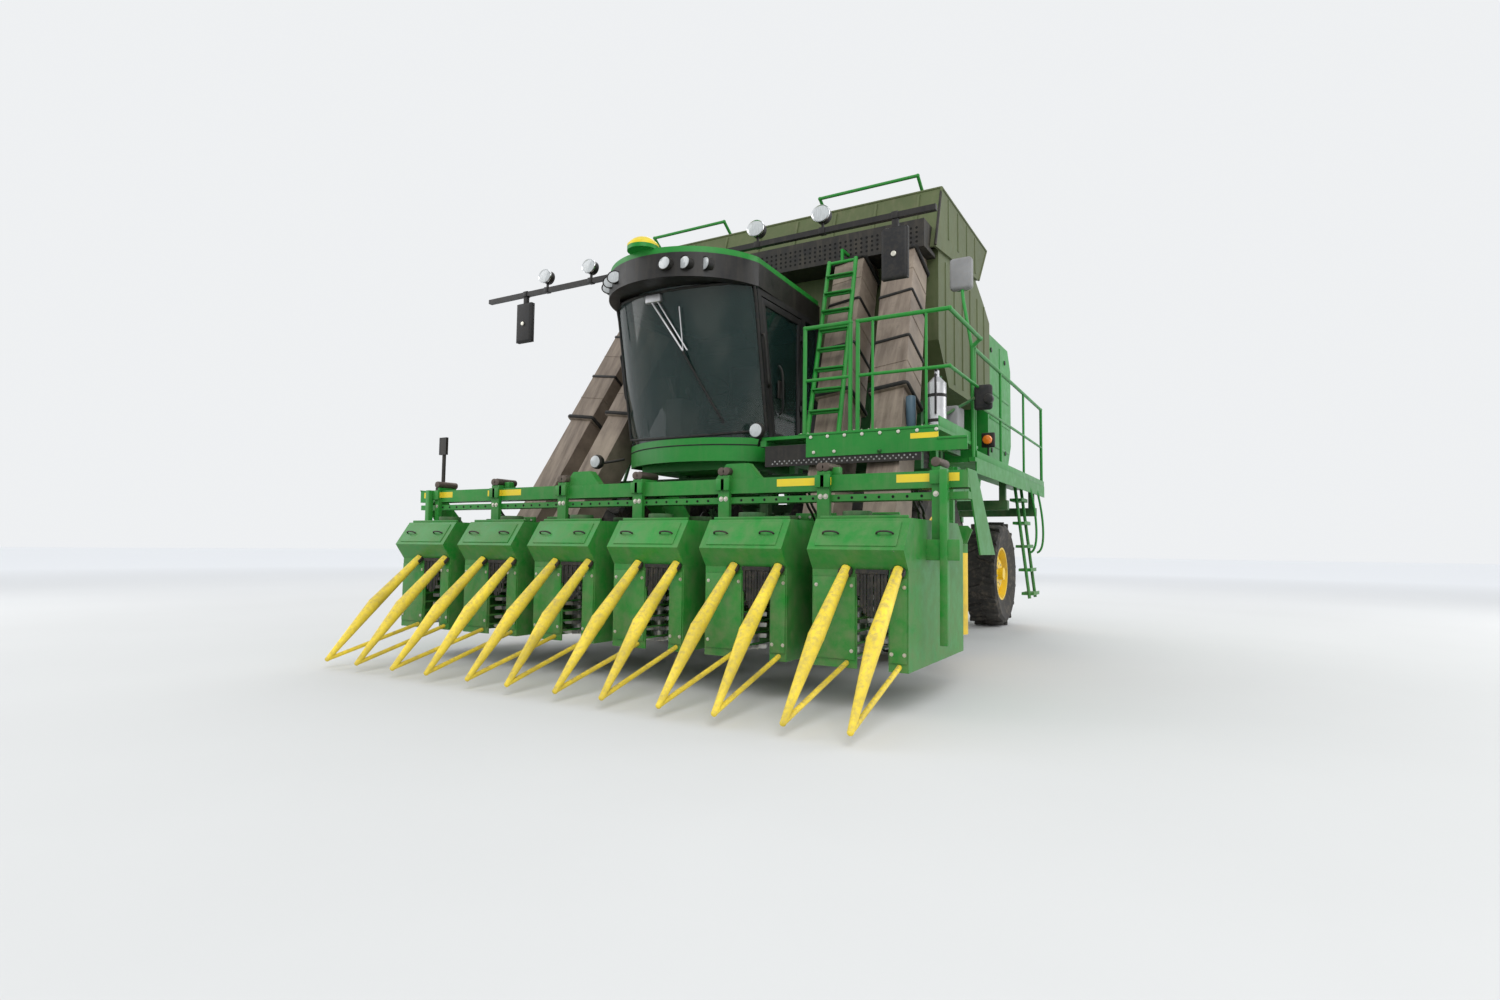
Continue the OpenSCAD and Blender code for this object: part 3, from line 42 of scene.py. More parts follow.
class Nodes:
    # shader nodes of one tree; a socket or a plain value may stand for any input
    def __init__(self, tree):
        self.tree = tree

    def node(self, kind, inputs=()):
        made = self.tree.nodes.new("ShaderNode" + kind)
        for name, value in dict(inputs).items():
            self.feed(made.inputs[name], value)
        return made

    def feed(self, socket, value):
        if isinstance(value, bpy.types.NodeSocket):
            self.tree.links.new(value, socket)
        else:
            socket.default_value = value

    def calc(self, operation, first, second=0.0, clamp=False):
        made = self.node("Math", {0: first, 1: second})
        made.operation = operation
        made.use_clamp = clamp
        return made.outputs[0]

    def fade(self, value, low, high, lowOut=0.0, highOut=1.0):
        made = self.node("MapRange", {"Value": value, "From Min": low, "From Max": high,
                                      "To Min": lowOut, "To Max": highOut})
        return made.outputs["Result"]

    def mixed(self, factor, first, second):
        made = self.node("Mix")
        made.data_type = "RGBA"
        self.feed(made.inputs[0], factor)
        for place, shade in ((6, first), (7, second)):
            self.feed(made.inputs[place], shade if isinstance(shade, bpy.types.NodeSocket) else (*shade, 1.0))
        return made.outputs[2]

    def axesOf(self, vector):
        return self.node("SeparateXYZ", {0: vector}).outputs

    def boxMask(self, axes, ranges):
        # 1 inside the box; ranges is like {"x": (low, high), "z": (low, high)}
        mask = 1.0
        for axis, (low, high) in ranges.items():
            value = axes["xyz".index(axis)]
            for operation, edge in (("GREATER_THAN", low), ("LESS_THAN", high)):
                if edge is not None:
                    mask = self.calc("MULTIPLY", self.calc(operation, value, edge), mask)
        return mask

    def spanOf(self, dx, dy):
        squares = [self.calc("MULTIPLY", d, d) for d in (dx, dy)]
        return self.calc("SQRT", self.calc("ADD", *squares))

    def roundMask(self, axes, centre, radius):
        # 1 inside a pipe along X
        span = self.spanOf(*(self.calc("SUBTRACT", axes[k + 1], centre[k]) for k in (0, 1)))
        return self.calc("LESS_THAN", span, radius)

    def facingUp(self):
        return self.fade(self.axesOf(self.node("NewGeometry").outputs["Normal"])[2], 0.3, 0.95)


class Finish(Nodes):
    # a material with its pattern on Object coordinates
    def __init__(self, name):
        self.material = bpy.data.materials.new(name)
        self.material.use_nodes = True
        super().__init__(self.material.node_tree)
        self.coords = self.node("TexCoord").outputs["Object"]

    def stretched(self, scale, turn=(0, 0, 0)):
        made = self.node("Mapping", {"Vector": self.coords, "Scale": scale, "Rotation": turn})
        return made.outputs["Vector"]

    def noise(self, scale, detail=4.0, roughness=0.55, at=None):
        made = self.node("TexNoise", {"Vector": at or self.coords, "Scale": scale, "Detail": detail,
                                      "Roughness": roughness})
        return made.outputs["Fac"]

    def shaded(self, colour, rough, bump=None, extra=()):
        # the material; bump is (height, strength, distance), extra holds other inputs of the shader
        values = {"Base Color": colour, "Roughness": rough, **dict(extra)}
        if bump:
            relief = self.node("Bump", dict(zip(("Height", "Strength", "Distance"), bump)))
            values["Normal"] = relief.outputs["Normal"]
        for name, value in values.items():
            self.feed(self.tree.nodes["Principled BSDF"].inputs[name], value)
        return self.material


fieldDust = (0.27, 0.22, 0.15)
bareSteel = (0.23, 0.21, 0.19)
paintGreen = (0.006, 0.215, 0.022)
chassisGreen = (0.006, 0.10, 0.018)
paintYellow = (0.86, 0.58, 0.02)
# black of the trims, also used as painted shade on the accumulator's front
blackTrimAndShade = (0.007, 0.007, 0.0075)
sheetOlive = (0.075, 0.10, 0.035)


def paintedSheet(name, colour, dust=0.4, chips=0.5, gloss=0.3, patches=(), steps=None):
    # patches are (mask ranges, colour) and lie over the paint
    f = Finish(name)
    axes = f.axesOf(f.coords)
    cloud = f.noise(0.9, 5)
    fine = f.noise(9, 8, 0.65)
    shade = f.mixed(f.fade(cloud, 0.3, 0.7), [c * 0.84 for c in colour], [min(1, c * 1.14) for c in colour])
    for ranges, over in patches:
        shade = f.mixed(f.boxMask(axes, ranges), shade, over)
    # dust lies on what faces up, low on the machine, and in faint runs down the sides
    runs = f.fade(f.noise(2.2, 6, 0.6, at=f.stretched((7, 7, 0.7))), 0.5, 0.72)
    low = f.fade(axes[2], 0.3, 2.1, 0.75, 0.12)
    lying = f.calc("MAXIMUM", f.calc("MULTIPLY", f.facingUp(), 0.8), low)
    settled = f.calc("MULTIPLY", lying, f.fade(fine, 0.36, 0.66, 0.15, 1.0))
    settled = f.calc("ADD", settled, f.calc("MULTIPLY", runs, 0.16))
    settled = f.calc("MULTIPLY", settled, dust, clamp=True)
    shade = f.mixed(settled, shade, fieldDust)
    chipped = f.fade(f.noise(26, 10, 0.72), 0.675, 0.69, 0.0, chips)
    shade = f.mixed(chipped, shade, bareSteel)
    rough = f.fade(fine, 0.3, 0.7, gloss, gloss + 0.14)
    rough = f.calc("ADD", f.calc("MULTIPLY", settled, 0.5), rough, clamp=True)
    bump = (fine, 0.12, 0.002)
    if steps:
        # raised lozenges of a tread plate on the faces that look up
        weave = f.node("TexVoronoi", {"Vector": f.stretched((1, 0.5, 1), (0, 0, 0.785)), "Scale": steps})
        height = f.calc("MULTIPLY", f.fade(weave.outputs["Distance"], 0.25, 0.42, 1.0, 0.0), f.facingUp())
        bump = (height, 0.7, 0.004)
    return f.shaded(shade, rough, bump, {"Specular IOR Level": 0.35})


def wornPlastic(name, colour, dust=0.3, rough=0.45, streak=(1, 1, 1), foot=None):
    # foot is (height, colour) for what lies lower than that
    f = Finish(name)
    cloud = f.noise(2.4, 7, 0.6, at=f.stretched(streak))
    fine = f.noise(30, 6, 0.6)
    shade = f.mixed(f.fade(cloud, 0.3, 0.7), [c * 0.72 for c in colour], [min(1, c * 1.25) for c in colour])
    if foot:
        shade = f.mixed(f.boxMask(f.axesOf(f.coords), {"z": (None, foot[0])}), shade, foot[1])
    veil = f.calc("ADD", f.calc("MULTIPLY", f.facingUp(), 0.6), 0.35)
    veil = f.calc("MULTIPLY", f.fade(fine, 0.42, 0.68), veil)
    shade = f.mixed(f.calc("MULTIPLY", veil, dust), shade, fieldDust)
    rough = f.fade(fine, 0.3, 0.7, rough, rough + 0.2)
    return f.shaded(shade, rough, (fine, 0.15, 0.0015), {"Specular IOR Level": 0.3})


def ductSheet(name):
    # dull brown sheet with runs along the duct, scuffs and pale dust
    f = Finish(name)
    runs = f.noise(1.6, 8, 0.62, at=f.stretched((9, 1.2, 1.2), (0.51, 0, 0)))
    cloud = f.noise(1.8, 6, 0.6)
    shade = f.mixed(f.fade(runs, 0.32, 0.7), (0.115, 0.085, 0.062), (0.27, 0.215, 0.165))
    shade = f.mixed(f.fade(cloud, 0.5, 0.72, 0.0, 0.55), shade, (0.35, 0.29, 0.22))
    scuffs = f.fade(f.noise(18, 10, 0.7, at=f.stretched((1, 4, 1))), 0.62, 0.68, 0.0, 0.6)
    shade = f.mixed(scuffs, shade, (0.05, 0.045, 0.04))
    return f.shaded(shade, f.fade(cloud, 0.3, 0.7, 0.55, 0.8), (runs, 0.2, 0.003))


def tyreRubber(name, centre=None, bead=0.0):
    # dusty rubber; a wheel in one piece with its rim gets the rim's paint inside the bead
    f = Finish(name)
    cloud = f.noise(3.0, 8, 0.62)
    shade = f.mixed(f.fade(cloud, 0.35, 0.68), (0.012, 0.012, 0.012), (0.045, 0.042, 0.038))
    shade = f.mixed(f.fade(f.noise(11, 8, 0.7), 0.5, 0.72, 0.05, 0.62), shade, (0.20, 0.165, 0.12))
    rough = f.fade(cloud, 0.3, 0.7, 0.72, 0.92)
    if centre:
        mask = f.roundMask(f.axesOf(f.coords), centre, bead)
        dulled = f.mixed(f.fade(cloud, 0.45, 0.7, 0.0, 0.4), paintYellow, fieldDust)
        shade = f.mixed(mask, shade, dulled)
        rough = f.calc("SUBTRACT", rough, f.calc("MULTIPLY", mask, 0.4))
    return f.shaded(shade, rough, (f.noise(45, 5, 0.6), 0.25, 0.002))


def metalFinish(name, colour, rough, dirt=0.3):
    f = Finish(name)
    grain = f.noise(60, 4, 0.6)
    cloud = f.noise(4, 7, 0.6)
    mask = f.fade(cloud, 0.48, 0.72, 0.0, dirt)
    shade = f.mixed(mask, colour, (0.10, 0.075, 0.05))
    rough = f.fade(grain, 0.3, 0.7, rough, rough + 0.15)
    return f.shaded(shade, rough, (grain, 0.08, 0.001), {"Metallic": f.calc("SUBTRACT", 1.0, mask)})


def tintedGlass(name, colour, clear):
    # dark tint seen through, with a faint dusty film
    f = Finish(name)
    film = f.noise(2.2, 5, 0.55, at=f.stretched((1, 1, 0.4)))
    shade = f.mixed(f.fade(film, 0.5, 0.78, 0.0, 0.25), colour, (0.20, 0.19, 0.16))
    return f.shaded(shade, f.fade(film, 0.4, 0.75, 0.04, 0.10), (film, 0.02, 0.001),
                    {"Alpha": f.fade(film, 0.35, 0.75, 1 - clear, 1.12 - clear)})


def lensGlass(name, colour, scale=40):
    f = Finish(name)
    ripple = f.noise(scale, 2, 0.4, at=f.stretched((1, 1, 0.2)))
    shade = f.mixed(f.fade(ripple, 0.3, 0.7), [c * 0.8 for c in colour], colour)
    rough = f.fade(ripple, 0.3, 0.7, 0.06, 0.2)
    return f.shaded(shade, rough, (ripple, 0.3, 0.002), {"Coat Weight": 0.6})


def seatCloth(name):
    f = Finish(name)
    threads = [f.calc("SINE", f.calc("MULTIPLY", axis, 1400.0)) for axis in f.axesOf(f.coords)]
    weave = f.fade(f.calc("MULTIPLY", f.calc("ADD", threads[0], threads[1]), threads[2]), -1.5, 1.5)
    cloud = f.noise(7, 6, 0.6)
    shade = f.mixed(weave, (0.025, 0.027, 0.03), (0.085, 0.085, 0.08))
    shade = f.mixed(f.fade(cloud, 0.5, 0.75, 0.0, 0.35), shade, (0.13, 0.11, 0.085))
    rough = f.fade(cloud, 0.3, 0.7, 0.8, 0.95)
    return f.shaded(shade, rough, (weave, 0.35, 0.0008), {"Sheen Weight": 0.3})


stripeYellow = (0.80, 0.60, 0.02)
greenPaint = paintedSheet("greenPaint", paintGreen)
framePaint = paintedSheet("framePaint", chassisGreen, dust=0.7, chips=0.6, gloss=0.42)
beamPatches = [({"x": ends, "y": (None, -3.515), "z": (1.622, 1.682)}, stripeYellow)
               for ends in ((2.41, 2.88), (1.40, 1.88), (-2.98, -2.52), (-1.98, -1.50))]
beamPatches.append(({"x": (-2.86, -2.72), "z": (1.7005, None)}, blackTrimAndShade))
toolbarPaint = paintedSheet("toolbarPaint", paintGreen, dust=0.5, patches=beamPatches)
cabinetPaint = paintedSheet("cabinetPaint", paintGreen, dust=0.55, chips=0.7)
deckPatches = [({"x": (2.26, 2.74), "y": (None, -2.735), "z": (2.062, 2.108)}, stripeYellow),
               ({"y": (-2.7295, -2.71), "z": (None, 2.0745)}, blackTrimAndShade)]
platformPaint = paintedSheet("platformPaint", paintGreen, dust=0.5, steps=34, patches=deckPatches)
walkPaint = paintedSheet("walkPaint", paintGreen, dust=0.6, steps=34)
# painted shade: the accumulator's front, ahead of y = -0.901, is painted black for the shade that lies there
olivePaint = paintedSheet("olivePaint", sheetOlive, dust=0.75, gloss=0.5,
                          patches=[({"y": (None, -0.901)}, blackTrimAndShade), ({"y": (1.5005, None)}, paintGreen)])
hoodPaint = paintedSheet("hoodPaint", sheetOlive, dust=0.75, gloss=0.5,
                         patches=[({"z": (5.1005, None)}, paintGreen)])
roofPaint = paintedSheet("roofPaint", blackTrimAndShade, dust=0.35, chips=0.1, gloss=0.35,
                         patches=[({"z": (3.8502, None)}, paintGreen)])
screenPaint = paintedSheet("screenPaint", paintGreen, patches=[({"x": (1.3005, None)}, blackTrimAndShade)])
builderPaint = paintedSheet("builderPaint", paintGreen, dust=0.35)
gatePaint = paintedSheet("gatePaint", paintGreen, dust=0.45)
guardPaint = paintedSheet("guardPaint", paintGreen, dust=0.6,
                          patches=[({"y": (-2.2215, -2.0795), "z": (0.37, 1.0995)}, paintYellow)])
rimPaint = paintedSheet("rimPaint", paintYellow, dust=0.55, chips=0.4)
blackPaint = paintedSheet("blackPaint", blackTrimAndShade, dust=0.35, chips=0.15, gloss=0.38)
cabTrim = wornPlastic("cabTrim", (0.013, 0.013, 0.014), dust=0.16)
lifterPlastic = wornPlastic("lifterPlastic", (0.80, 0.60, 0.05), dust=0.75, rough=0.4, streak=(3, 1, 1))
domePlastic = wornPlastic("domePlastic", (0.80, 0.62, 0.03), dust=0.15, rough=0.3, foot=(3.948, paintGreen))
ductBrown = ductSheet("ductBrown")
ductBrownLower = ductSheet("ductBrownLower")
spindleSteel = metalFinish("spindleSteel", (0.5, 0.5, 0.5), 0.28, dirt=0.5)
steelWorn = metalFinish("steelWorn", (0.55, 0.55, 0.56), 0.35)
boltZinc = metalFinish("boltZinc", (0.62, 0.60, 0.52), 0.35, dirt=0.2)
rodChrome = metalFinish("rodChrome", (0.82, 0.83, 0.85), 0.06, dirt=0.1)
engineGrey = metalFinish("engineGrey", (0.32, 0.33, 0.34), 0.5, dirt=0.6)
beltRubber = wornPlastic("beltRubber", (0.035, 0.034, 0.033), dust=0.6, rough=0.6)
frontTyre = tyreRubber("frontTyre")
rearTyreFinish = tyreRubber("rearTyreFinish", centre=(2.91, 0.775), bead=0.391)
cabGlass = tintedGlass("cabGlass", (0.012, 0.032, 0.028), 0.5)
lampLens = lensGlass("lampLens", (0.50, 0.52, 0.52), scale=120)
amberLens = lensGlass("amberLens", (0.85, 0.22, 0.015))
mirrorFace = metalFinish("mirrorFace", (0.9, 0.91, 0.92), 0.02, dirt=0.05)
seatFabric = seatCloth("seatFabric")
rustSteel = metalFinish("rustSteel", (0.13, 0.105, 0.09), 0.5, dirt=0.8)
holeBlack = wornPlastic("holeBlack", (0.004, 0.004, 0.004), dust=0.05, rough=0.8)
holePale = wornPlastic("holePale", (0.30, 0.30, 0.29), dust=0.1, rough=0.6)
netBlack = wornPlastic("netBlack", (0.02, 0.02, 0.02), dust=0.35, rough=0.6)
sealRubber = wornPlastic("sealRubber", (0.012, 0.012, 0.012), dust=0.2, rough=0.55)
lampChrome = metalFinish("lampChrome", (0.75, 0.76, 0.77), 0.14, dirt=0.05)
tailLens = lensGlass("tailLens", (0.5, 0.012, 0.01))
bottleBlue = paintedSheet("bottleBlue", (0.06, 0.11, 0.15), dust=0.3, chips=0.2)
screenMesh = wornPlastic("screenMesh", (0.03, 0.03, 0.03), dust=0.5, rough=0.7)
shellGrey = wornPlastic("shellGrey", (0.22, 0.22, 0.22), dust=0.3, rough=0.4)


nodesIn = ((framePaint, "main_frame front_axle rear_axle air_fans knuckle_left knuckle_right module_handler"),
           (blackPaint, "mirror_bar lift_barrels gate_barrels"), (cabTrim, "cab_frame cab_interior cab_door"),
           (steelWorn, "extinguisher tie_rod"), (rodChrome, "lift_rods gate_rods"),
           (frontTyre, "front_tyres_left front_tyres_right"), (rimPaint, "front_rims_left front_rims_right"),
           (rearTyreFinish, "rear_tyre_left rear_tyre_right"), (ductBrown, "upper_ducts"),
           (ductBrownLower, "lower_ducts_left lower_ducts_right"), (engineGrey, "engine_block"),
           (screenPaint, "engine_enclosure"), (olivePaint, "accumulator"), (hoodPaint, "accumulator_hood"),
           (greenPaint, "cab_base"), (cabGlass, "cab_glass"), (roofPaint, "cab_roof"), (amberLens, "beacon"),
           (domePlastic, "receiver_dome"), (platformPaint, "front_platform"), (walkPaint, "side_walkway"),
           (guardPaint, "stalk_guards"), (builderPaint, "module_housing"), (beltRubber, "module_belts"),
           (toolbarPaint, "toolbar"), (cabinetPaint, "row_cabinets"), (lifterPlastic, "stalk_lifters"),
           (spindleSteel, "picker_drums"), (gatePaint, "rear_gate"))
nodeFinishes = {name: finish for finish, names in nodesIn for name in names.split()}
for nodeName, finish in nodeFinishes.items():
    part = bpy.data.objects[nodeName]
    if not part.material_slots:
        part.data.materials.append(finish)
    for materialSlot in part.material_slots:
        materialSlot.material = finish
print("finishes on", len(nodeFinishes), "nodes")


quarter = math.pi / 2
towardsFront = (quarter, 0, 0)
bothSides = ((1, "Left", (0, quarter, 0)), (-1, "Right", (0, -quarter, 0)))


def turnedAt(spot, angle=quarter, axis="X"):
    return Matrix.Translation(spot) @ Matrix.Rotation(angle, 4, axis)


def applyPlace():
    bpy.ops.object.transform_apply(location=True, rotation=True, scale=True)


def setMode(mode):
    bpy.ops.object.mode_set(mode=mode)


def pickNone():
    bpy.ops.object.select_all(action="DESELECT")


def pick(piece):
    pickNone()
    piece.select_set(True)
    bpy.context.view_layer.objects.active = piece


def rounded(piece, width, segments=2):
    pick(piece)
    bevel = piece.modifiers.new("edges", "BEVEL")
    bevel.width = width
    bevel.segments = segments
    bevel.limit_method = "ANGLE"
    bpy.ops.object.modifier_apply(modifier=bevel.name)
    return piece


def softBox(low, high, bevel=0.006, segments=2):
    pickNone()
    bpy.ops.mesh.primitive_cube_add(size=1, location=[(a + b) / 2 for a, b in zip(low, high)])
    piece = bpy.context.object
    piece.scale = [b - a for a, b in zip(low, high)]
    applyPlace()
    return rounded(piece, bevel, segments)


def turnedDisc(radius, depth, sides=24, bevel=0.003, inset=0.0, dish=0.0):
    # a disc from z = 0 to depth; its top face may be inset and pushed down by dish
    pickNone()
    bpy.ops.mesh.primitive_cylinder_add(vertices=sides, radius=radius, depth=depth,
                                        location=(0, 0, depth / 2))
    piece = bpy.context.object
    applyPlace()
    if inset:
        setMode("EDIT")
        bpy.ops.mesh.select_all(action="DESELECT")
        setMode("OBJECT")
        for face in piece.data.polygons:
            face.select = face.normal.z > 0.9
        setMode("EDIT")
        bpy.ops.mesh.inset(thickness=inset)
        bpy.ops.transform.translate(value=(0, 0, -dish))
        setMode("OBJECT")
    return rounded(piece, bevel) if bevel else piece


def tubeAlong(points, radius, sides=4, closed=False, bends=0):
    # a round tube through the points; bends > 0 rounds its corners
    curve = bpy.data.curves.new("tube", "CURVE")
    curve.dimensions = "3D"
    curve.bevel_depth = radius
    curve.bevel_resolution = sides
    curve.use_fill_caps = not closed
    spline = curve.splines.new("POLY" if not bends else "NURBS")
    spline.points.add(len(points) - 1)
    for target, point in zip(spline.points, points):
        target.co = (*point, 1)
    spline.use_cyclic_u = closed
    if bends:
        spline.order_u = 3
        spline.use_endpoint_u = not closed
        spline.resolution_u = bends
    piece = bpy.data.objects.new("tube", curve)
    bpy.context.collection.objects.link(piece)
    pick(piece)
    bpy.ops.object.convert(target="MESH")
    return bpy.context.object


def widened(piece, share):
    piece.scale = (share, 1, 1)
    pick(piece)
    applyPlace()
    return piece


def joined(pieces):
    pickNone()
    for piece in pieces:
        piece.select_set(True)
    bpy.context.view_layer.objects.active = pieces[0]
    applyPlace()
    if len(pieces) > 1:
        bpy.ops.object.join()
    return bpy.context.object


def copied(master, places):
    # places are (spot, turn) or matrices; the master stands at the origin
    twins = []
    for place in places:
        if not isinstance(place, Matrix):
            spot, (aboutX, aboutY, aboutZ) = place
            place = turnedAt(spot, aboutZ, "Z") @ Matrix.Rotation(aboutY, 4, "Y")
            place = place @ Matrix.Rotation(aboutX, 4, "X")
        twin = bpy.data.objects.new(master.name, master.data.copy())
        twin.matrix_world = place
        bpy.context.collection.objects.link(twin)
        twins.append(twin)
    bpy.data.objects.remove(master)
    return joined(twins)


def settled(piece, name, finish, body="chassis", slot=None, smooth=35):
    if isinstance(piece, list):
        piece = joined(piece)
    piece.name = name
    piece.data.name = name
    pick(piece)
    applyPlace()
    if smooth:
        bpy.ops.object.shade_smooth_by_angle(angle=math.radians(smooth))
    piece.data.materials.clear()
    piece.data.materials.append(finish)
    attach(piece, body)
    return piece


def arcAround(x, y, z, radius, start, step, count):
    # points on a circle round an axis along X, its angles in degrees from the rear upwards
    angles = [math.radians(start + step * k) for k in range(count)]
    return [(x, y + radius * math.cos(a), z + radius * math.sin(a)) for a in angles]


def hexBolt(size):
    head = turnedDisc(size, size * 0.7, sides=6, bevel=size * 0.1)
    washer = turnedDisc(size * 1.5, size * 0.2, sides=14, bevel=0)
    return joined([washer, head])


rows = {"count": 6, "pitch": 0.915, "offset": 0.12}
rowSpots = [(i - 2.5) * rows["pitch"] + rows["offset"] for i in range(rows["count"])]
hangerSpots = [x + dx for x in rowSpots for dx in (-0.56, 0.31)]


header = {"hangerFront": -3.55, "boltLevels": (1.66, 1.53, 1.13), "boltSize": 0.014, "rollerLevel": 1.762,
          "holePitch": 0.11, "holeRadius": 0.011}


def dressHeader():
    bolts = [((x, header["hangerFront"], z), towardsFront)
             for x in hangerSpots for z in header["boltLevels"]]
    settled(copied(hexBolt(header["boltSize"]), bolts), "hangerBolts", boltZinc, "header")
    roller = turnedDisc(0.036, 0.25, sides=20, bevel=0.008)
    ears = [((x, -3.31, header["rollerLevel"]), towardsFront) for x in hangerSpots]
    settled(copied(roller, ears), "hangerRollers", rustSteel, "header")
    clamps = [softBox((x - 0.042, -3.575, 1.60), (x + 0.042, -3.5505, 1.70), 0.005) for x in hangerSpots]
    settled(clamps, "hangerClamps", cabinetPaint, "header")
    count = int(5.7 / header["holePitch"])
    holes = [((-2.9 + i * header["holePitch"], -3.5098, 1.519), towardsFront) for i in range(count)]
    settled(copied(turnedDisc(header["holeRadius"], 0.002, sides=10, bevel=0), holes), "railHoles",
            holeBlack, "header", smooth=0)
    # supply pipe and return pipe along the back of the beam, with two bent pipes down to each row unit
    pipes = [tubeAlong([(-2.9, -3.30, z), (2.7, -3.30, z)], 0.014) for z in (1.64, 1.60)]
    stands = [softBox((x - 0.02, -3.332, 1.58), (x + 0.02, -3.284, 1.66), 0.004)
              for x in [-2.6 + i * 0.65 for i in range(9)]]
    settled(pipes + stands, "supplyPipes", steelWorn, "header")
    drops = [tubeAlong([(x, -3.30, 1.60), (x, -3.27, 1.50), (x + 0.03, -3.22, 1.42), (x, -3.14, 1.40),
                        (x - 0.02, -3.08, 1.39), (x, -3.06, 1.335)], 0.011, 3, bends=6)
             for x in [row + dx for row in rowSpots for dx in (0.05, 0.09)]]
    settled(drops, "rowPipes", blackPaint, "header")


cabinet = {"left": 0.255, "right": -0.455, "front": -4.012, "top": 1.3395,
           "noseSlope": math.atan2(0.22, 0.15), "strips": 9, "stripTop": 0.975, "lifterTurn": 42}


def dressCabinets():
    # pressed panel on the sloping nose, with two handles
    turn = Matrix.Rotation(cabinet["noseSlope"], 4, "X")
    panels = []
    for x in rowSpots:
        plate = softBox((-0.30, -0.105, -0.002), (0.30, 0.105, 0.008), 0.006, 3)
        plate.matrix_world = Matrix.Translation((x - 0.10, -4.025, 1.23)) @ turn
        panels.append(plate)
    settled(panels, "nosePanels", cabinetPaint, "header")
    grip = tubeAlong([(-0.06, 0, 0), (-0.06, 0, 0.035), (0.06, 0, 0.035), (0.06, 0, 0)], 0.007, 3, bends=5)
    grips = [Matrix.Translation((x + dx, -4.032, 1.228)) @ turn for dx in (-0.30, 0.10) for x in rowSpots]
    settled(copied(grip, grips), "noseHandles", blackPaint, "header")
    trims = []
    for x in rowSpots:
        for low, high in ((cabinet["right"], -0.115), (0.115, cabinet["left"])):
            trims.append(softBox((x + low + 0.01, cabinet["front"], 0.36),
                                 (x + high - 0.01, -3.9995, 0.93), 0.004))
    settled(trims, "frontDoors", cabinetPaint, "header")
    bolts = [((x + dx, cabinet["front"], z), towardsFront) for x in rowSpots
             for dx in (-0.42, -0.15, 0.14, 0.23) for z in (0.42, 0.87)]
    settled(copied(hexBolt(0.009), bolts), "doorBolts", boltZinc, "header")
    strips = []
    for x in rowSpots:
        for k in range(cabinet["strips"]):
            across = (k + 0.5) / cabinet["strips"] * 2 - 1
            reach = 0.27 * math.sqrt(max(0.05, 1 - across * across)) + 0.05
            left = x + across * 0.112 - 0.0105
            face = -4.0175 + 0.004 * (k % 2)
            strips.append(softBox((left, face, cabinet["stripTop"] - reach),
                                  (left + 0.021, face + 0.005, cabinet["stripTop"]), 0.0015, 1))
        strips.append(softBox((x - 0.12, -4.022, 0.955), (x + 0.12, -4.006, 0.985), 0.003))
    settled(strips, "passageCurtains", netBlack, "header", smooth=0)
    # collars where each lifter leaves its cabinet
    collars = []
    for x in rowSpots:
        for side in (-0.19, 0.19):
            collar = turnedDisc(0.052, 0.03, sides=20, bevel=0.004)
            place = turnedAt((x + side * 1.003, -4.03, 0.972), math.radians(cabinet["lifterTurn"]))
            collar.matrix_world = place @ Matrix.Translation((0, 0, -0.02))
            collars.append(collar)
    settled(collars, "lifterCollars", blackPaint, "header")
    # lips across the cabinet tops and caps over the drums
    rims = [softBox((x - 0.43, front, cabinet["top"]), (x + 0.23, rear, 1.362), 0.004)
            for front, rear in ((-3.93, -3.905), (-2.80, -2.78)) for x in rowSpots]
    settled(rims, "topLips", cabinetPaint, "header")
    cap = turnedDisc(0.11, 0.075, sides=32, bevel=0.012, inset=0.02, dish=0.015)
    places = [Matrix.Translation((x - 0.276, y, cabinet["top"])) for x in rowSpots for y in (-3.6, -2.98)]
    settled(copied(cap, places), "drumCaps", framePaint, "header")


def dressHeaderEnds():
    # upright posts outside the last row units, and clevises on the beam with their pins
    posts = [softBox((x - 0.028, -3.62, 0.45), (x + 0.028, -3.56, 1.70), 0.006) for x in (2.79, -2.80)]
    posts += [softBox((x - 0.16, -3.60, 1.05), (x + 0.16, -3.575, 1.20), 0.006) for x in (2.74, -2.74)]
    settled(posts, "endPosts", cabinetPaint, "header")
    eyes = [softBox((x - 0.035, -3.49, 1.6995), (x + 0.035, -3.42, 1.765), 0.01)
            for x in (1.80, 1.90, -1.84, -1.74)]
    eyes += [tubeAlong([(x, -3.455, 1.738), (x + 0.14, -3.455, 1.738)], 0.014) for x in (1.78, -1.86)]
    settled(eyes, "beamClevises", cabinetPaint, "header")


screen = {"middle": -0.10, "radius": 1.146, "half": 0.846, "low": 2.19, "high": 3.62, "lean": 11.0}


def screenPoint(x, height):
    # a point on the outside of the windscreen, x from its middle, height along the glass
    back = screen["radius"] - math.sqrt(screen["radius"] ** 2 - x * x) + 0.004
    lean = math.radians(screen["lean"])
    return Vector((screen["middle"] + x, -2.85 + back * math.cos(lean) - height * math.sin(lean),
                   screen["low"] + height * math.cos(lean) + back * math.sin(lean)))


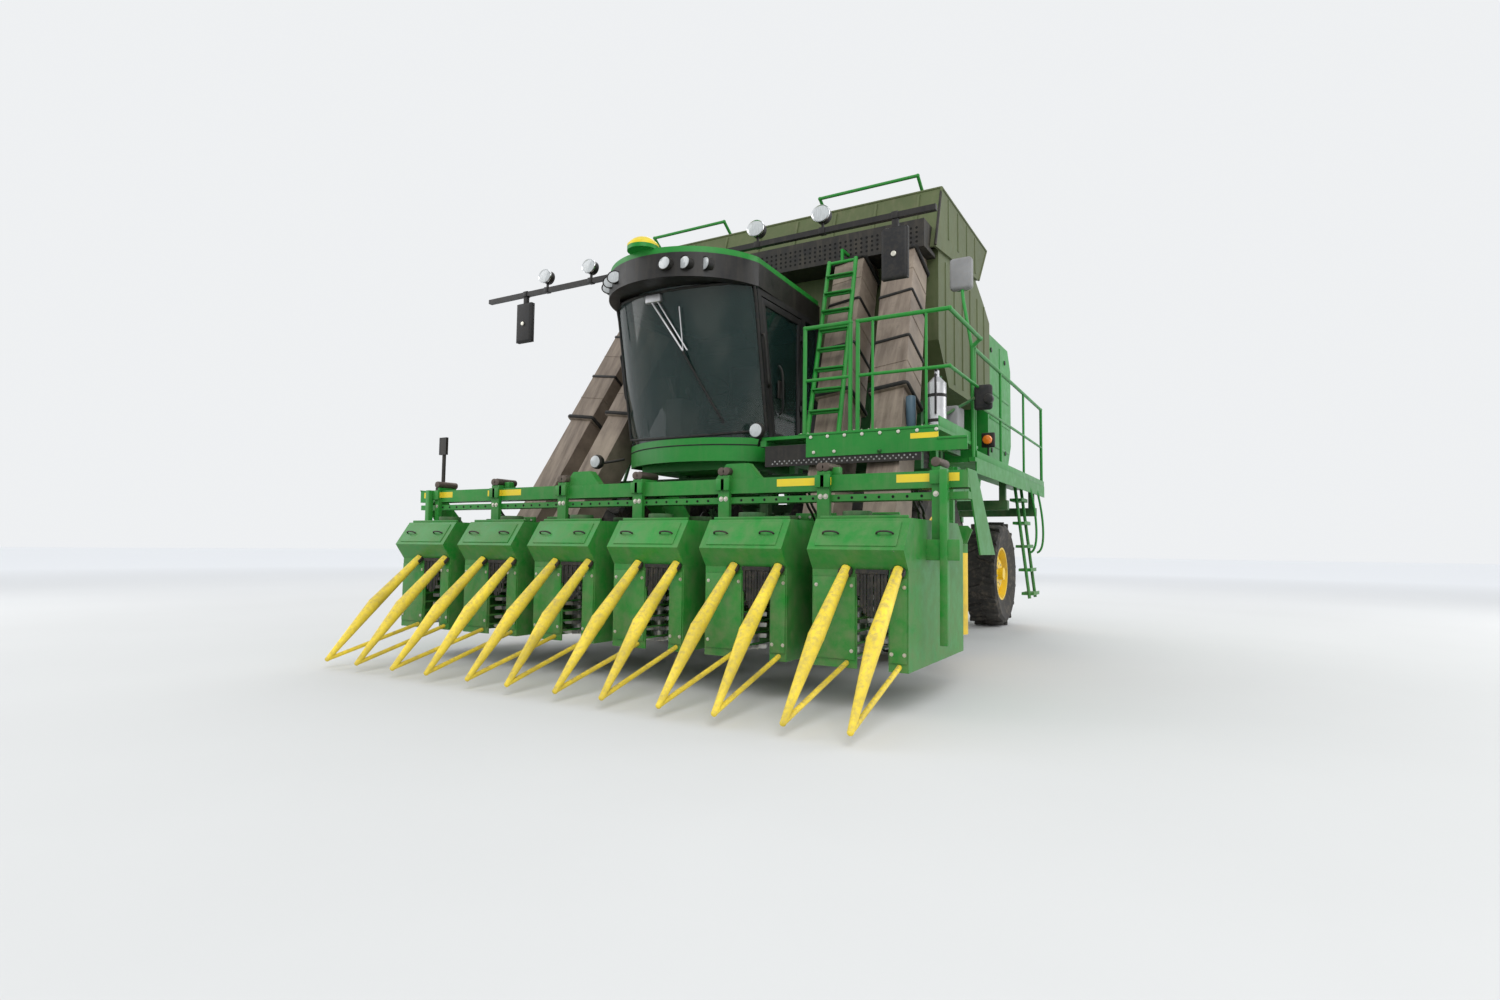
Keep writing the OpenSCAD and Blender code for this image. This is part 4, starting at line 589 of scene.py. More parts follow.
def dressScreen():
    top = (screen["high"] - screen["low"]) / math.cos(math.radians(screen["lean"]))
    seals = []
    for side in (-1, 1):
        edge = [screenPoint(side * 0.835, top * k / 8) for k in range(9)]
        seals.append(tubeAlong([(p.x, p.y - 0.002, min(p.z, 3.63)) for p in edge], 0.017))
    for height in (0.012, top - 0.03):
        seals.append(tubeAlong([screenPoint(-0.835 + 1.67 * k / 24, height) for k in range(25)], 0.013))
    settled(seals, "screenSeal", sealRubber)
    # wiper with its parallel arms, parked to the left of the middle
    pivot = screenPoint(-0.12, top - 0.10)
    knee = screenPoint(0.20, top - 0.62)
    out = Vector((0, -0.035, -0.006))
    arms = [tubeAlong([pivot + out, knee + out * 1.2], 0.009),
            tubeAlong([pivot + out + Vector((0.07, 0, 0)), knee + out * 1.2 + Vector((0.05, 0, 0))], 0.007),
            tubeAlong([screenPoint(0.20, top - 0.2) + out, knee + out * 1.1], 0.006),
            softBox((pivot.x - 0.06, pivot.y - 0.05, pivot.z - 0.03),
                    (pivot.x + 0.12, pivot.y + 0.012, pivot.z + 0.05), 0.012, 3)]
    settled(arms, "wiperArms", steelWorn)
    blade = [tubeAlong([screenPoint(0.05 + 0.46 * k / 10, top - 0.34 - 1.0 * k / 10) + Vector((0, -0.012, 0))
                        for k in range(11)], 0.010),
             tubeAlong([knee + out * 1.2, screenPoint(0.28, top - 0.84) + Vector((0, -0.018, 0))], 0.008)]
    settled(blade, "wiperBlade", sealRubber)
    handles = []
    for side in (-1, 1):
        x = screen["middle"] + side * 0.885
        points = [(x - side * 0.04, -2.62, 3.18), (x, -2.66, 3.18), (x, -2.62, 3.1),
                  (x, -2.56, 2.75), (x, -2.53, 2.70), (x - side * 0.04, -2.48, 2.70)]
        handles.append(tubeAlong(points, 0.012, 4, bends=6))
    settled(handles, "cabGrabHandles", blackPaint)
    # dark seam round the skirt
    seam = [(screen["middle"] + 1.152 * math.sin(a), -1.70 - 1.152 * math.cos(a), 2.12)
            for a in (math.radians(-46 + 92 * k / 24) for k in range(25))]
    settled(tubeAlong(seam, 0.006), "skirtSeam", sealRubber)


door = {"x": (0.705, 0.745), "front": -2.3828, "rear": -1.766, "low": 2.19, "high": 3.56, "lean": 11}


def doorLine(z):
    # front edge of the door at a height
    return door["front"] - (z - door["low"]) * math.tan(math.radians(door["lean"]))


def doorSheet(x0, x1, gap):
    low, high = door["low"] + gap, door["high"] - gap
    corners = [(doorLine(low) + gap, low), (door["rear"] - gap, low), (door["rear"] - gap, high),
               (doorLine(high) + gap, high)]
    pickNone()
    bpy.ops.mesh.primitive_plane_add(size=1)
    sheet = bpy.context.object
    for vertex, (y, z) in zip([sheet.data.vertices[k] for k in (0, 1, 3, 2)], corners):
        vertex.co = (x0, y, z)
    setMode("EDIT")
    bpy.ops.mesh.select_all(action="SELECT")
    bpy.ops.mesh.normals_make_consistent(inside=False)
    bpy.ops.mesh.extrude_region_move(TRANSFORM_OT_translate={"value": (x1 - x0, 0, 0)})
    bpy.ops.mesh.select_all(action="SELECT")
    bpy.ops.mesh.normals_make_consistent(inside=False)
    setMode("OBJECT")
    return sheet


def dressDoor():
    outer = doorSheet(door["x"][0], door["x"][1], 0.006)
    inner = doorSheet(door["x"][0] - 0.02, door["x"][1] + 0.02, 0.075)
    cut = outer.modifiers.new("window", "BOOLEAN")
    cut.operation = "DIFFERENCE"
    cut.solver = "EXACT"
    cut.object = inner
    pick(outer)
    bpy.ops.object.modifier_apply(modifier=cut.name)
    bpy.data.objects.remove(inner)
    parts = [rounded(outer, 0.008, 3)]
    for z in (2.50, 3.25):
        barrel = turnedDisc(0.012, 0.06, sides=24, bevel=0.001)
        barrel.location = (0.763, door["rear"], z + 0.06)
        leaf = softBox((0.738, -1.806, z + 0.06), (0.762, -1.7725, z + 0.12), 0.003)
        parts += [barrel, leaf]
    frameDone = settled(parts, "doorFrame", cabTrim, "door")
    glass = settled(rounded(doorSheet(0.720, 0.728, 0.072), 0.002), "doorGlass", cabGlass, "door", smooth=0)
    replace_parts(frameDone, "cab_door")
    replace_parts(glass, "cab_door")
    grip = [tubeAlong([(0.742, -2.27, 2.95), (0.785, -2.27, 2.93), (0.79, -2.26, 2.7), (0.785, -2.25, 2.48),
                       (0.742, -2.25, 2.46)], 0.011, 4, bends=6),
            softBox((0.744, -2.30, 2.62), (0.758, -2.20, 2.80), 0.006, 3)]
    settled(grip, "doorHandle", blackPaint, "door")


mirrorSpots = (-2.3, 2.14)
barLampSpots = (-1.97, -1.32, 0.77, 1.45)
# roof lamps as (place along the visor, turn in degrees)
visor = {"middle": -0.1, "radius": 0.9, "front": -3.408, "level": 3.74, "sink": 0.06,
         "lamps": ((-0.69, 22), (-0.56, 16), (-0.43, 12), (0.25, -8), (0.43, -14), (0.59, -22))}


def dressLamps():
    # rims and glass on the roof's lamps and on those of the mirror bar
    spots = []
    for offset, turn in visor["lamps"]:
        setBack = visor["radius"] - math.sqrt(visor["radius"] ** 2 - offset * offset) + 0.03
        a = math.radians(turn)
        x = visor["middle"] + offset + visor["sink"] * math.sin(a)
        y = visor["front"] + setBack - visor["sink"] * math.cos(a)
        spots.append(((x, y, visor["level"]), (quarter, 0, a)))
    barSpots = [((x, -2.805, 4.16), towardsFront) for x in barLampSpots]
    rim = widened(turnedDisc(0.064, 0.02, sides=36, bevel=0.004, inset=0.008, dish=0.012), 1.22)
    settled(copied(rim, spots), "roofLampRims", blackPaint)
    settled(copied(widened(turnedDisc(0.056, 0.014, sides=32, bevel=0.006), 1.22), spots), "roofLampGlass",
            lampLens)
    rim = widened(turnedDisc(0.078, 0.026, sides=36, bevel=0.006, inset=0.008, dish=0.014), 1.18)
    settled(copied(rim, barSpots), "barLampRims", lampChrome)
    settled(copied(widened(turnedDisc(0.069, 0.017, sides=32, bevel=0.006), 1.18), barSpots), "barLampGlass",
            lampLens)
    # two low lamps beside the skirt
    low = [((x, -2.86, z), towardsFront) for x, z in ((0.86, 2.20), (-1.06, 2.0))]
    settled(copied(turnedDisc(0.075, 0.07, sides=32, bevel=0.02), low), "skirtLampBodies", blackPaint)
    faces = [((x, y - 0.069, z), turn) for (x, y, z), turn in low]
    settled(copied(turnedDisc(0.062, 0.01, sides=32, bevel=0.004), faces), "skirtLampGlass", lampLens)
    arms = [tubeAlong([(0.86, -2.80, 2.20), (0.80, -2.74, 2.14), (0.74, -2.66, 2.10)], 0.014, 4, bends=5),
            tubeAlong([(-1.06, -2.80, 2.0), (-0.98, -2.72, 2.02), (-0.93, -2.62, 2.05)], 0.014, 4, bends=5)]
    settled(arms, "skirtLampArms", blackPaint)
    whip = tubeAlong([(-0.55, -1.9, 3.905), (-0.55, -1.9, 4.05), (-0.56, -1.9, 4.45)], 0.005, 3)
    settled(whip, "radioAerial", blackPaint)


def dressMirrors():
    heads = [softBox((x - 0.122, -2.812, 3.442), (x + 0.122, -2.744, 3.908), 0.034, 5) for x in mirrorSpots]
    heads += [softBox((x - 0.03, -2.79, 3.88), (x + 0.03, -2.75, 4.05), 0.008) for x in mirrorSpots]
    settled(heads, "mirrorHeads", cabTrim)
    faces = [softBox((x - 0.10, -2.7435, 3.465), (x + 0.10, -2.7405, 3.885), 0.0012) for x in mirrorSpots]
    settled(faces, "mirrorGlass", mirrorFace)
    pivot = turnedDisc(0.024, 0.014, sides=20, bevel=0.004)
    settled(copied(pivot, [((x, -2.812, 3.66), towardsFront) for x in mirrorSpots]), "mirrorPivots", boltZinc)
    clamps = [softBox((x - 0.03, -2.803, 3.98), (x + 0.03, -2.737, 4.042), 0.006)
              for x in sorted(mirrorSpots + barLampSpots)]
    settled(clamps, "barClamps", blackPaint)
    # mirror and lamp on the platform rail, and the wide one on its green arm
    settled(softBox((2.55, -1.76, 2.44), (2.72, -1.70, 2.68), 0.028, 4), "railMirror", cabTrim)
    settled(softBox((2.28, -1.60, 3.68), (2.50, -1.50, 4.00), 0.035, 4), "wideMirror", shellGrey)
    settled(softBox((2.305, -1.4995, 3.705), (2.475, -1.4965, 3.975), 0.001), "wideMirrorGlass", mirrorFace)
    lamp = turnedDisc(0.045, 0.07, sides=28, bevel=0.014)
    lamp.matrix_world = turnedAt((2.70, -1.76, 2.53))
    settled(lamp, "railLamp", blackPaint)
    turn = turnedDisc(0.05, 0.05, sides=28, bevel=0.016)
    turn.matrix_world = turnedAt((2.44, -0.70, 2.30))
    settled(turn, "turnLamp", amberLens)
    settled([softBox((2.37, -0.70, 2.22), (2.51, -0.66, 2.38), 0.012, 3),
             tubeAlong([(2.44, -0.68, 2.23), (2.44, -0.68, 2.05), (2.44, -0.66, 2.005)], 0.012)],
            "turnLampStand", blackPaint)
    settled(tubeAlong([(1.98, -2.755, 1.965), (2.56, -1.735, 2.56)], 0.015), "platformBrace", framePaint)
    arm = [tubeAlong([(2.51, -1.63, 3.05), (2.46, -1.62, 3.35), (2.40, -1.56, 3.62), (2.39, -1.545, 3.80)],
                     0.016, 4, bends=6),
           tubeAlong([(2.59, -1.70, 2.66), (2.595, -1.68, 2.62), (2.595, -1.64, 2.60)], 0.012),
           softBox((2.34, -1.518, 3.68), (2.44, -1.508, 3.86), 0.004)]
    settled(arm, "railMirrorArms", greenPaint)


platform = {"front": -2.7401, "deck": 2.1605, "railFeet": (1.25, 1.70, 1.77, 1.91, 2.39)}
ladder = {"foot": Vector((1.25, -2.65, 2.159)), "head": Vector((0.935, -1.477, 4.24)), "width": 0.31,
          "rungs": 8}


def dressPlatform():
    heads = [(1.33 + i * 0.165, 2.13) for i in range(8)] + [(1.36, 1.99), (1.56, 1.99)]
    spots = [((x, platform["front"], z), towardsFront) for x, z in heads]
    settled(copied(turnedDisc(0.016, 0.008, sides=20, bevel=0.003), spots), "platformBolts", boltZinc)
    lip = [softBox((1.28, -2.7475, 2.146), (2.5, -2.736, 2.1685), 0.004),
           softBox((2.49, -2.7475, 2.044), (2.74, -2.736, 2.0655), 0.004)]
    settled(lip, "platformLip", greenPaint)
    holes = [((0.93 + i * 0.05 + (k % 2) * 0.025, -2.7291, 1.905 + k * 0.022), towardsFront)
             for i in range(28) for k in range(2)]
    settled(copied(turnedDisc(0.008, 0.0012, sides=8, bevel=0), holes), "underplateHoles", holePale, smooth=0)
    # clamps where the rails stand on the deck
    feet = [softBox((x - 0.05, -2.735, platform["deck"]), (x + 0.05, -2.685, 2.172), 0.003)
            for x in platform["railFeet"]]
    settled(feet, "railFeet", greenPaint)
    nuts = [((x + dx, -2.71, 2.172), (0, 0, 0)) for x in platform["railFeet"] for dx in (-0.036, 0.036)]
    settled(copied(hexBolt(0.008), nuts), "railFootBolts", boltZinc)
    toe = [softBox((2.488, -2.70, platform["deck"]), (2.499, -1.66, 2.25), 0.004),
           softBox((2.02, -1.30, platform["deck"]), (2.09, -1.285, 2.25), 0.004)]
    settled(toe, "toeBoards", greenPaint)


def dressLadder():
    along = (ladder["head"] - ladder["foot"]) / 9
    treads, studs = [], []
    for i in range(1, ladder["rungs"] + 1):
        spot = ladder["foot"] + along * i
        treads.append(softBox((spot.x + 0.004, spot.y - 0.052, spot.z + 0.010),
                              (spot.x + ladder["width"] - 0.004, spot.y + 0.032, spot.z + 0.026), 0.005))
        studs += [((spot.x + 0.05 + k * 0.052, spot.y - 0.03 + j * 0.03, spot.z + 0.0258), (0, 0, 0))
                  for k in range(5) for j in range(2)]
    settled(treads, "ladderTreads", walkPaint)
    settled(copied(turnedDisc(0.008, 0.004, sides=10, bevel=0.0015), studs), "treadStuds", greenPaint)


def dressWalkway():
    risers = []
    for i in range(5):
        x = 2.492 - i * 0.034
        z = 0.56 + i * 0.30
        risers.append(softBox((x + 0.052, 1.252, z + 0.012), (x + 0.0605, 1.648, z + 0.045), 0.003))
        risers.append(softBox((x - 0.088, 1.252, z + 0.0301), (x + 0.058, 1.648, z + 0.036), 0.002))
    settled(risers, "stepTreads", walkPaint)
    rail = [tubeAlong([(2.52, y, 1.10), (2.60, y, 1.12), (2.60, y, 1.60), (2.53, y, 1.92)], 0.014, 4,
                      bends=5) for y in (1.20, 1.70)]
    settled(rail, "stepRails", greenPaint)
    kick = softBox((2.5285, -1.58, 2.0105), (2.5395, 2.18, 2.08), 0.004)
    settled(kick, "walkwayKickBoard", greenPaint)


bottle = {"x": 2.33, "y": -2.2, "radius": 0.0885, "bands": (2.27, 2.50)}


def dressExtinguisher():
    bands = copied(turnedDisc(bottle["radius"], 0.03, sides=48, bevel=0.003),
                   [((bottle["x"], bottle["y"], z), (0, 0, 0)) for z in bottle["bands"]])
    mount = softBox((2.31, -2.105, 2.28), (2.35, -2.08, 2.52), 0.004)
    settled([bands, mount], "extinguisherStraps", blackPaint)
    valve = [softBox((2.318, -2.236, 2.738), (2.342, -2.15, 2.752), 0.004),
             softBox((2.32, -2.262, 2.752), (2.34, -2.17, 2.766), 0.004),
             tubeAlong([(2.33, -2.20, 2.70), (2.33, -2.245, 2.72), (2.345, -2.292, 2.66),
                        (2.35, -2.302, 2.50), (2.345, -2.292, 2.34)], 0.010, 4, bends=6)]
    settled(valve, "extinguisherValve", blackPaint)
    # second, thin bottle
    canister = turnedDisc(0.045, 0.36, sides=36, bevel=0.018)
    canister.location = (2.12, -2.30, platform["deck"])
    settled(canister, "waterBottle", bottleBlue)


duct = {"feet": (2.055, 1.49), "y": -2.75, "z": 1.36, "lean": 7.5, "slope": 29.4, "width": 0.34,
        "depth": 0.40}


def ductPlace(side, x):
    foot = turnedAt((side * x, duct["y"], duct["z"]), math.radians(-side * duct["lean"]), "Y")
    return foot @ Matrix.Rotation(math.radians(-duct["slope"]), 4, "X")


def squareRing(halfX, halfY, radius, corner=0.03):
    points = []
    for cx, cy, start in ((1, 1, 0), (-1, 1, 90), (-1, -1, 180), (1, -1, 270)):
        for step in (0, 30, 60, 90):
            a = math.radians(start + step)
            points.append((cx * (halfX - corner) + corner * math.cos(a),
                           cy * (halfY - corner) + corner * math.sin(a), 0))
    return tubeAlong(points, radius, 3, closed=True)


def dressDucts():
    half, deep = duct["width"] / 2, duct["depth"] / 2
    places = [ductPlace(side, x) for side in (-1, 1) for x in duct["feet"]]
    rims, straps, ribs = ([place @ Matrix.Translation((0, 0, along)) for place in places for along in levels]
                          for levels in ((1.3555, 3.27), (1.98, 2.62), (1.65, 2.30, 2.95)))
    settled(copied(squareRing(half + 0.015, deep + 0.015, 0.022), rims), "ductMouthRims", sealRubber)
    settled(copied(squareRing(half + 0.003, deep + 0.003, 0.017, 0.014), straps), "ductStraps", blackPaint)
    settled(copied(squareRing(half + 0.001, deep + 0.001, 0.006, 0.006), ribs), "ductRibs", ductBrown)
    # green foot frames at the ducts' lower ends, with their bolts
    for side, body in ((-1, "ducts_right"), (1, "ducts_left")):
        feet = []
        bolts = []
        for x in duct["feet"]:
            feet.append(softBox((side * x - 0.19, -2.975, 1.3555), (side * x + 0.19, -2.945, 1.43), 0.005))
            bolts += [((side * x + dx, -2.975, 1.395), towardsFront) for dx in (-0.15, -0.05, 0.05, 0.15)]
        settled(feet, "ductFeet" + body[5:], cabinetPaint, body)
        settled(copied(turnedDisc(0.013, 0.008, sides=16, bevel=0.002), bolts), "ductFootBolts" + body[5:],
                boltZinc, body)


def dressConduits():
    # rubber lines clipped up the frame between the ducts, with their brackets
    lines = []
    for k in range(5):
        x = 1.735 + k * 0.030
        lines.append(tubeAlong([(x, -2.10, 2.17), (x, -2.10, 2.40), (x - 0.02, -1.98, 2.62),
                                (x - 0.10, -1.60, 3.30), (x - 0.16, -1.36, 3.85), (x - 0.16, -1.345, 4.28)],
                               0.010 + 0.003 * (k % 2), 4, bends=8))
    settled(lines, "ductLines", beltRubber)
    clips = [softBox((1.70, -2.12, 2.30), (1.89, -2.085, 2.33), 0.004),
             softBox((1.50, -1.37, 4.10), (1.74, -1.325, 4.13), 0.004)]
    settled(clips, "ductLineClips", framePaint)
    struts = [tubeAlong([(2.02, -1.30, 2.16), (2.02, -1.02, 2.96)], 0.022),
              tubeAlong([(-2.02, -1.30, 1.90), (-1.96, -0.92, 3.0)], 0.022),
              tubeAlong([(-2.02, -1.30, 1.90), (-2.30, -2.10, 1.82)], 0.022)]
    settled(struts, "plenumStruts", framePaint)
    box = [softBox((2.18, -1.98, platform["deck"]), (2.46, -1.74, 2.46), 0.014, 3),
           softBox((2.20, -1.985, 2.20), (2.44, -1.978, 2.42), 0.006)]
    settled(box, "valveBox", shellGrey, slot="grey_metal")


# ribs as (place, lower end)
wall = {"x": 1.9705, "ribHalf": 0.022, "ribTop": 4.34,
        "ribs": ((-0.62, 3.2), (-0.26, 3.02), (0.10, 3.02), (0.46, 3.02), (0.82, 3.02), (1.18, 3.2))}
hood = {"half": 2.0, "front": -0.87, "rear": 1.208, "top": 5.098, "edge": 0.014}


def dressAccumulator():
    # rows of holes in the plenum's front, pressed ribs on the lower walls, and trims round the hood
    holes = [((-1.86 + i * 0.062, -1.3121, 4.36 + k * 0.05), towardsFront) for i in range(61)
             for k in range(4)]
    settled(copied(turnedDisc(0.014, 0.0012, sides=8, bevel=0), holes), "plenumHoles", holeBlack, smooth=0)
    reach = wall["ribHalf"]
    ribs = [softBox((x - 0.012, y - reach, low), (x + 0.012, y + reach, wall["ribTop"]), 0.008)
            for x in (-wall["x"], wall["x"]) for y, low in wall["ribs"]]
    settled(ribs, "lowerWallRibs", olivePaint)
    half, front, rear, top = (hood[k] for k in ("half", "front", "rear", "top"))
    edges = (((-1.11, 4.37), (-0.872, top)), ((front, top), (rear, top)), ((rear, 5.095), (0.79, 4.575)))
    trims = [tubeAlong([(x, *foot), (x, *head)], hood["edge"]) for x in (-half, half) for foot, head in edges]
    trims += [tubeAlong([(-half, y, top), (half, y, top)], hood["edge"]) for y in (front, rear)]
    settled(trims, "hoodEdges", olivePaint)
    folds = []
    slope = math.atan2(0.24, 0.74)
    for x in [-1.75 + i * 0.5 for i in range(8)]:
        fold = softBox((-0.016, -0.012, 0.02), (0.016, 0.004, 0.74), 0.006)
        fold.matrix_world = turnedAt((x, -1.112, 4.36), -slope)
        folds.append(fold)
    for side in (-1, 1):
        for y in (-0.6, -0.2, 0.2, 0.6):
            folds.append(softBox((side * half - 0.010, y - 0.018, 4.60),
                                 (side * half + 0.010, y + 0.018, 5.06), 0.006))
    settled(folds, "hoodFolds", hoodPaint)


builder = {"gateMiddle": (2.75, 2.86), "latches": ((1.75, 2.5), (1.75, 3.9), (2.62, 3.9), (2.62, 2.55))}


def dressBuilder():
    beads, latches, bolts = [], [], []
    gateY, gateZ = builder["gateMiddle"]
    for side, _, outward in bothSides[::-1]:
        x = side * 1.93
        for z in (2.58, 2.95, 3.32, 3.69):
            beads.append(softBox((x - 0.010, 1.66, z - 0.02), (x + 0.010, 2.92, z + 0.02), 0.008))
        beads.append(softBox((x - 0.008, 2.29, 2.40), (x + 0.008, 2.31, 4.04), 0.003))
        latches += [((x, y, z), outward) for y, z in builder["latches"]]
        bolts += [(spot, outward) for spot in arcAround(side * 1.27, gateY, gateZ, 1.26, -52, 11.5, 10)]
    settled(beads, "coverBeads", builderPaint)
    latch = turnedDisc(0.035, 0.016, sides=28, bevel=0.005, inset=0.008, dish=0.005)
    settled(copied(latch, latches), "coverLatches", blackPaint)
    hoops = [tubeAlong(arcAround(x, gateY, gateZ, 1.20, -56, 116 / 30, 31), 0.022)
             for x in (-1.2705, 1.2705)]
    hoops += [tubeAlong(arcAround(x, gateY, gateZ, 1.318, -50, 100 / 30, 31), 0.018)
              for x in (-0.85, -0.42, 0.0, 0.42, 0.85)]
    settled(hoops, "gateHoops", gatePaint, "gate")
    settled(copied(hexBolt(0.014), bolts), "gateBolts", boltZinc, "gate")
    lamps = [softBox((s * 1.05 - 0.12, 4.062, 2.72), (s * 1.05 + 0.12, 4.092, 2.80), 0.01) for s in (-1, 1)]
    settled(lamps, "tailLamps", tailLens, "gate")
    wells = [softBox((s * 1.05 - 0.14, 4.03, 2.70), (s * 1.05 + 0.14, 4.07, 2.82), 0.008) for s in (-1, 1)]
    settled(wells, "tailLampWells", blackPaint, "gate")


bay = {"wall": 1.3005, "screenMiddle": (1.0, 2.33)}


def dressEngineBay():
    mesh = turnedDisc(0.488, 0.004, sides=64, bevel=0)
    mesh.matrix_world = turnedAt((1.318, *bay["screenMiddle"]), axis="Y")
    settled(mesh, "screenMesh", screenMesh, smooth=0)
    hub = turnedDisc(0.09, 0.03, sides=40, bevel=0.008, inset=0.03, dish=0.01)
    hub.matrix_world = turnedAt((1.3455, *bay["screenMiddle"]), axis="Y")
    settled(hub, "screenHub", blackPaint)
    louvres = []
    for k in range(9):
        louvre = softBox((-0.010, 0.45, -0.022), (0.010, 1.25, 0.022), 0.005)
        louvre.matrix_world = turnedAt((-bay["wall"], 0, 1.85 + 0.09 * k), -0.35, "Y")
        louvres.append(louvre)
    settled(louvres, "bayLouvres", builderPaint)
    settled(softBox((1.2985, 0.20, 1.74), (1.3085, 0.42, 2.90), 0.004), "bayDoor", builderPaint)


fan = {"middle": (1.2115, -0.48, 2.44), "rings": (0.05, 0.09, 0.13, 0.17, 0.205), "reach": 0.215,
       "wire": 0.004}


def dressFans():
    grilles = []
    x, y, z = fan["middle"]
    for side in (-1, 1):
        for radius in fan["rings"]:
            ring = arcAround(side * x, y, z, radius, 0, 10, 36)
            grilles.append(tubeAlong(ring, fan["wire"], 2, closed=True))
        for k in range(4):
            ends = arcAround(side * x, y, z, fan["reach"], 45 * k + 180, -180, 2)
            grilles.append(tubeAlong(ends, fan["wire"], 2))
    settled(grilles, "fanGrilles", blackPaint)


# hub middle (y, z), nut plane, nut circle, first angle, number and size of nuts
wheels = {"front": ((-1.15, 0.95), 1.965, 0.178, 12, 10, 0.016),
          "rear": ((2.91, 0.775), 1.77, 0.155, 10, 8, 0.014)}


def dressWheels():
    for end, (middle, plane, circle, first, count, size) in wheels.items():
        for side, name, outward in bothSides:
            body = {"front": "front_wheels_", "rear": "rear_wheel_"}[end] + name.lower()
            nuts = arcAround(side * plane, *middle, circle, first, 360 / count, count)
            settled(copied(hexBolt(size), [(spot, outward) for spot in nuts]), end + "WheelNuts" + name,
                    boltZinc, body)
            if end == "front":
                cap = turnedDisc(0.10, 0.035, sides=40, bevel=0.012)
                cap.matrix_world = turnedAt((side * 2.03, *middle), side * quarter, "Y")
                settled(cap, "frontHubCap" + name, rimPaint, body)


# seat and controls: the pads are crowned, and the rest stands for the plain cab interior
seat = {"x": -0.1, "y": -1.82, "floor": 2.19, "lean": -8, "cuts": 35, "welt": 0.0045}
cushionPad = {"half": (0.25, 0.254, 0.06), "centre": (0, -0.016, 0.391), "crown": 0.42,
              "rows": (-0.45, 0.0, 0.45)}
backPad = {"half": (0.24, 0.316, 0.055), "centre": (0, 0.245, 0.764), "crown": 0.5,
           "rows": (-0.55, -0.1, 0.35)}


def padPoint(pad, u, v, w):
    # u, v, w run from -1 to 1 over the pad; w = 1 is the sat-on face
    halfX, halfY, halfZ = pad["half"]
    corner = 0.82
    overU, overV = max(0.0, abs(u) - corner), max(0.0, abs(v) - corner)
    if overU and overV:
        share = max(overU, overV) / math.hypot(overU, overV)
        u = math.copysign(corner + overU * share, u)
        v = math.copysign(corner + overV * share, v)
    dome = math.sqrt(max(0.0, (1 - u ** 4) * (1 - v ** 4)))
    crown = pad["crown"] if w > 0 else 0.12
    height = w * (1 - crown + crown * dome)
    groove = sum(math.exp(-((v - row) / 0.045) ** 2) for row in pad["rows"])
    groove += sum(math.exp(-((u - side) / 0.04) ** 2) for side in (-0.66, 0.66))
    if w > 0:
        height -= 0.16 * min(1.0, groove) * w * (1 - u ** 8) * (1 - v ** 8)
    swell = 0.035 * (1 - w * w)
    waistX = 1 - 0.05 * (1 - v * v) - 0.035 + swell
    waistY = 1 - 0.05 * (1 - u * u) - 0.035 + swell
    return Vector((u * halfX * waistX, v * halfY * waistY, height * halfZ))


def crownedPad(pad):
    pickNone()
    bpy.ops.mesh.primitive_cube_add(size=2)
    piece = bpy.context.object
    setMode("EDIT")
    bpy.ops.mesh.subdivide(number_cuts=seat["cuts"])
    setMode("OBJECT")
    for vertex in piece.data.vertices:
        vertex.co = padPoint(pad, *vertex.co)
    rim = [(math.cos(k * math.tau / 72), math.sin(k * math.tau / 72)) for k in range(72)]
    rim = [(a / max(abs(a), abs(b)), b / max(abs(a), abs(b))) for a, b in rim]
    welts = [tubeAlong([padPoint(pad, a, b, w) for a, b in rim], seat["welt"], closed=True)
             for w in (0.98, -0.7)]
    return joined([piece] + welts)


def dressSeat():
    x, y, z = seat["x"], seat["y"], seat["floor"]
    floor = Matrix.Translation((x, y, z))
    lean = Matrix.Rotation(math.radians(seat["lean"]), 4, "X")
    cushion = crownedPad(cushionPad)
    cushion.matrix_world = floor @ Matrix.Translation(cushionPad["centre"])
    back = crownedPad(backPad)
    back.matrix_world = floor @ lean @ turnedAt(backPad["centre"])
    for piece, name in ((cushion, "seatCushion"), (back, "seatBack")):
        settled(piece, name, seatFabric, smooth=60)
        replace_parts(piece, "cab_interior")

    base = [softBox((-0.14, -0.18, 0.0), (0.14, 0.18, 0.30), 0.012, 3),
            softBox((-0.21, -0.22, 0.298), (0.21, 0.20, 0.328), 0.008),
            softBox((-0.29, 0.07, 0.296), (0.29, 0.15, 0.324), 0.006)]
    for side in (-1, 1):
        low, high = sorted((side * 0.262, side * 0.288))
        base.append(softBox((low, 0.07, 0.30), (high, 0.15, 0.505), 0.006))
        low, high = sorted((side * 0.262, side * 0.338))
        base.append(softBox((low, -0.20, 0.502), (high, 0.22, 0.556), 0.018, 4))
    # folds of the bellows, then the shell behind the back and the strut and riser that carry it
    for k in range(5):
        base.append(softBox((-0.146, -0.186, 0.04 + k * 0.05), (0.146, 0.186, 0.06 + k * 0.05), 0.008))
    shell = softBox((-0.19, 0.303, 0.36), (0.19, 0.322, 1.0), 0.009, 3)
    shell.matrix_world = lean
    strut = softBox((-0.12, 0.10, 0.296), (0.12, 0.345, 0.322), 0.006)
    riser = softBox((-0.12, 0.325, 0.298), (0.12, 0.345, 0.46), 0.006)
    stand = joined(base + [shell, strut, riser])
    stand.matrix_world = floor
    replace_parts(settled(stand, "seatStand", sealRubber, slot="cab_trim", smooth=40), "cab_interior")


steering = {"y": -2.48, "turn": -22, "radius": 0.19, "level": 0.72}


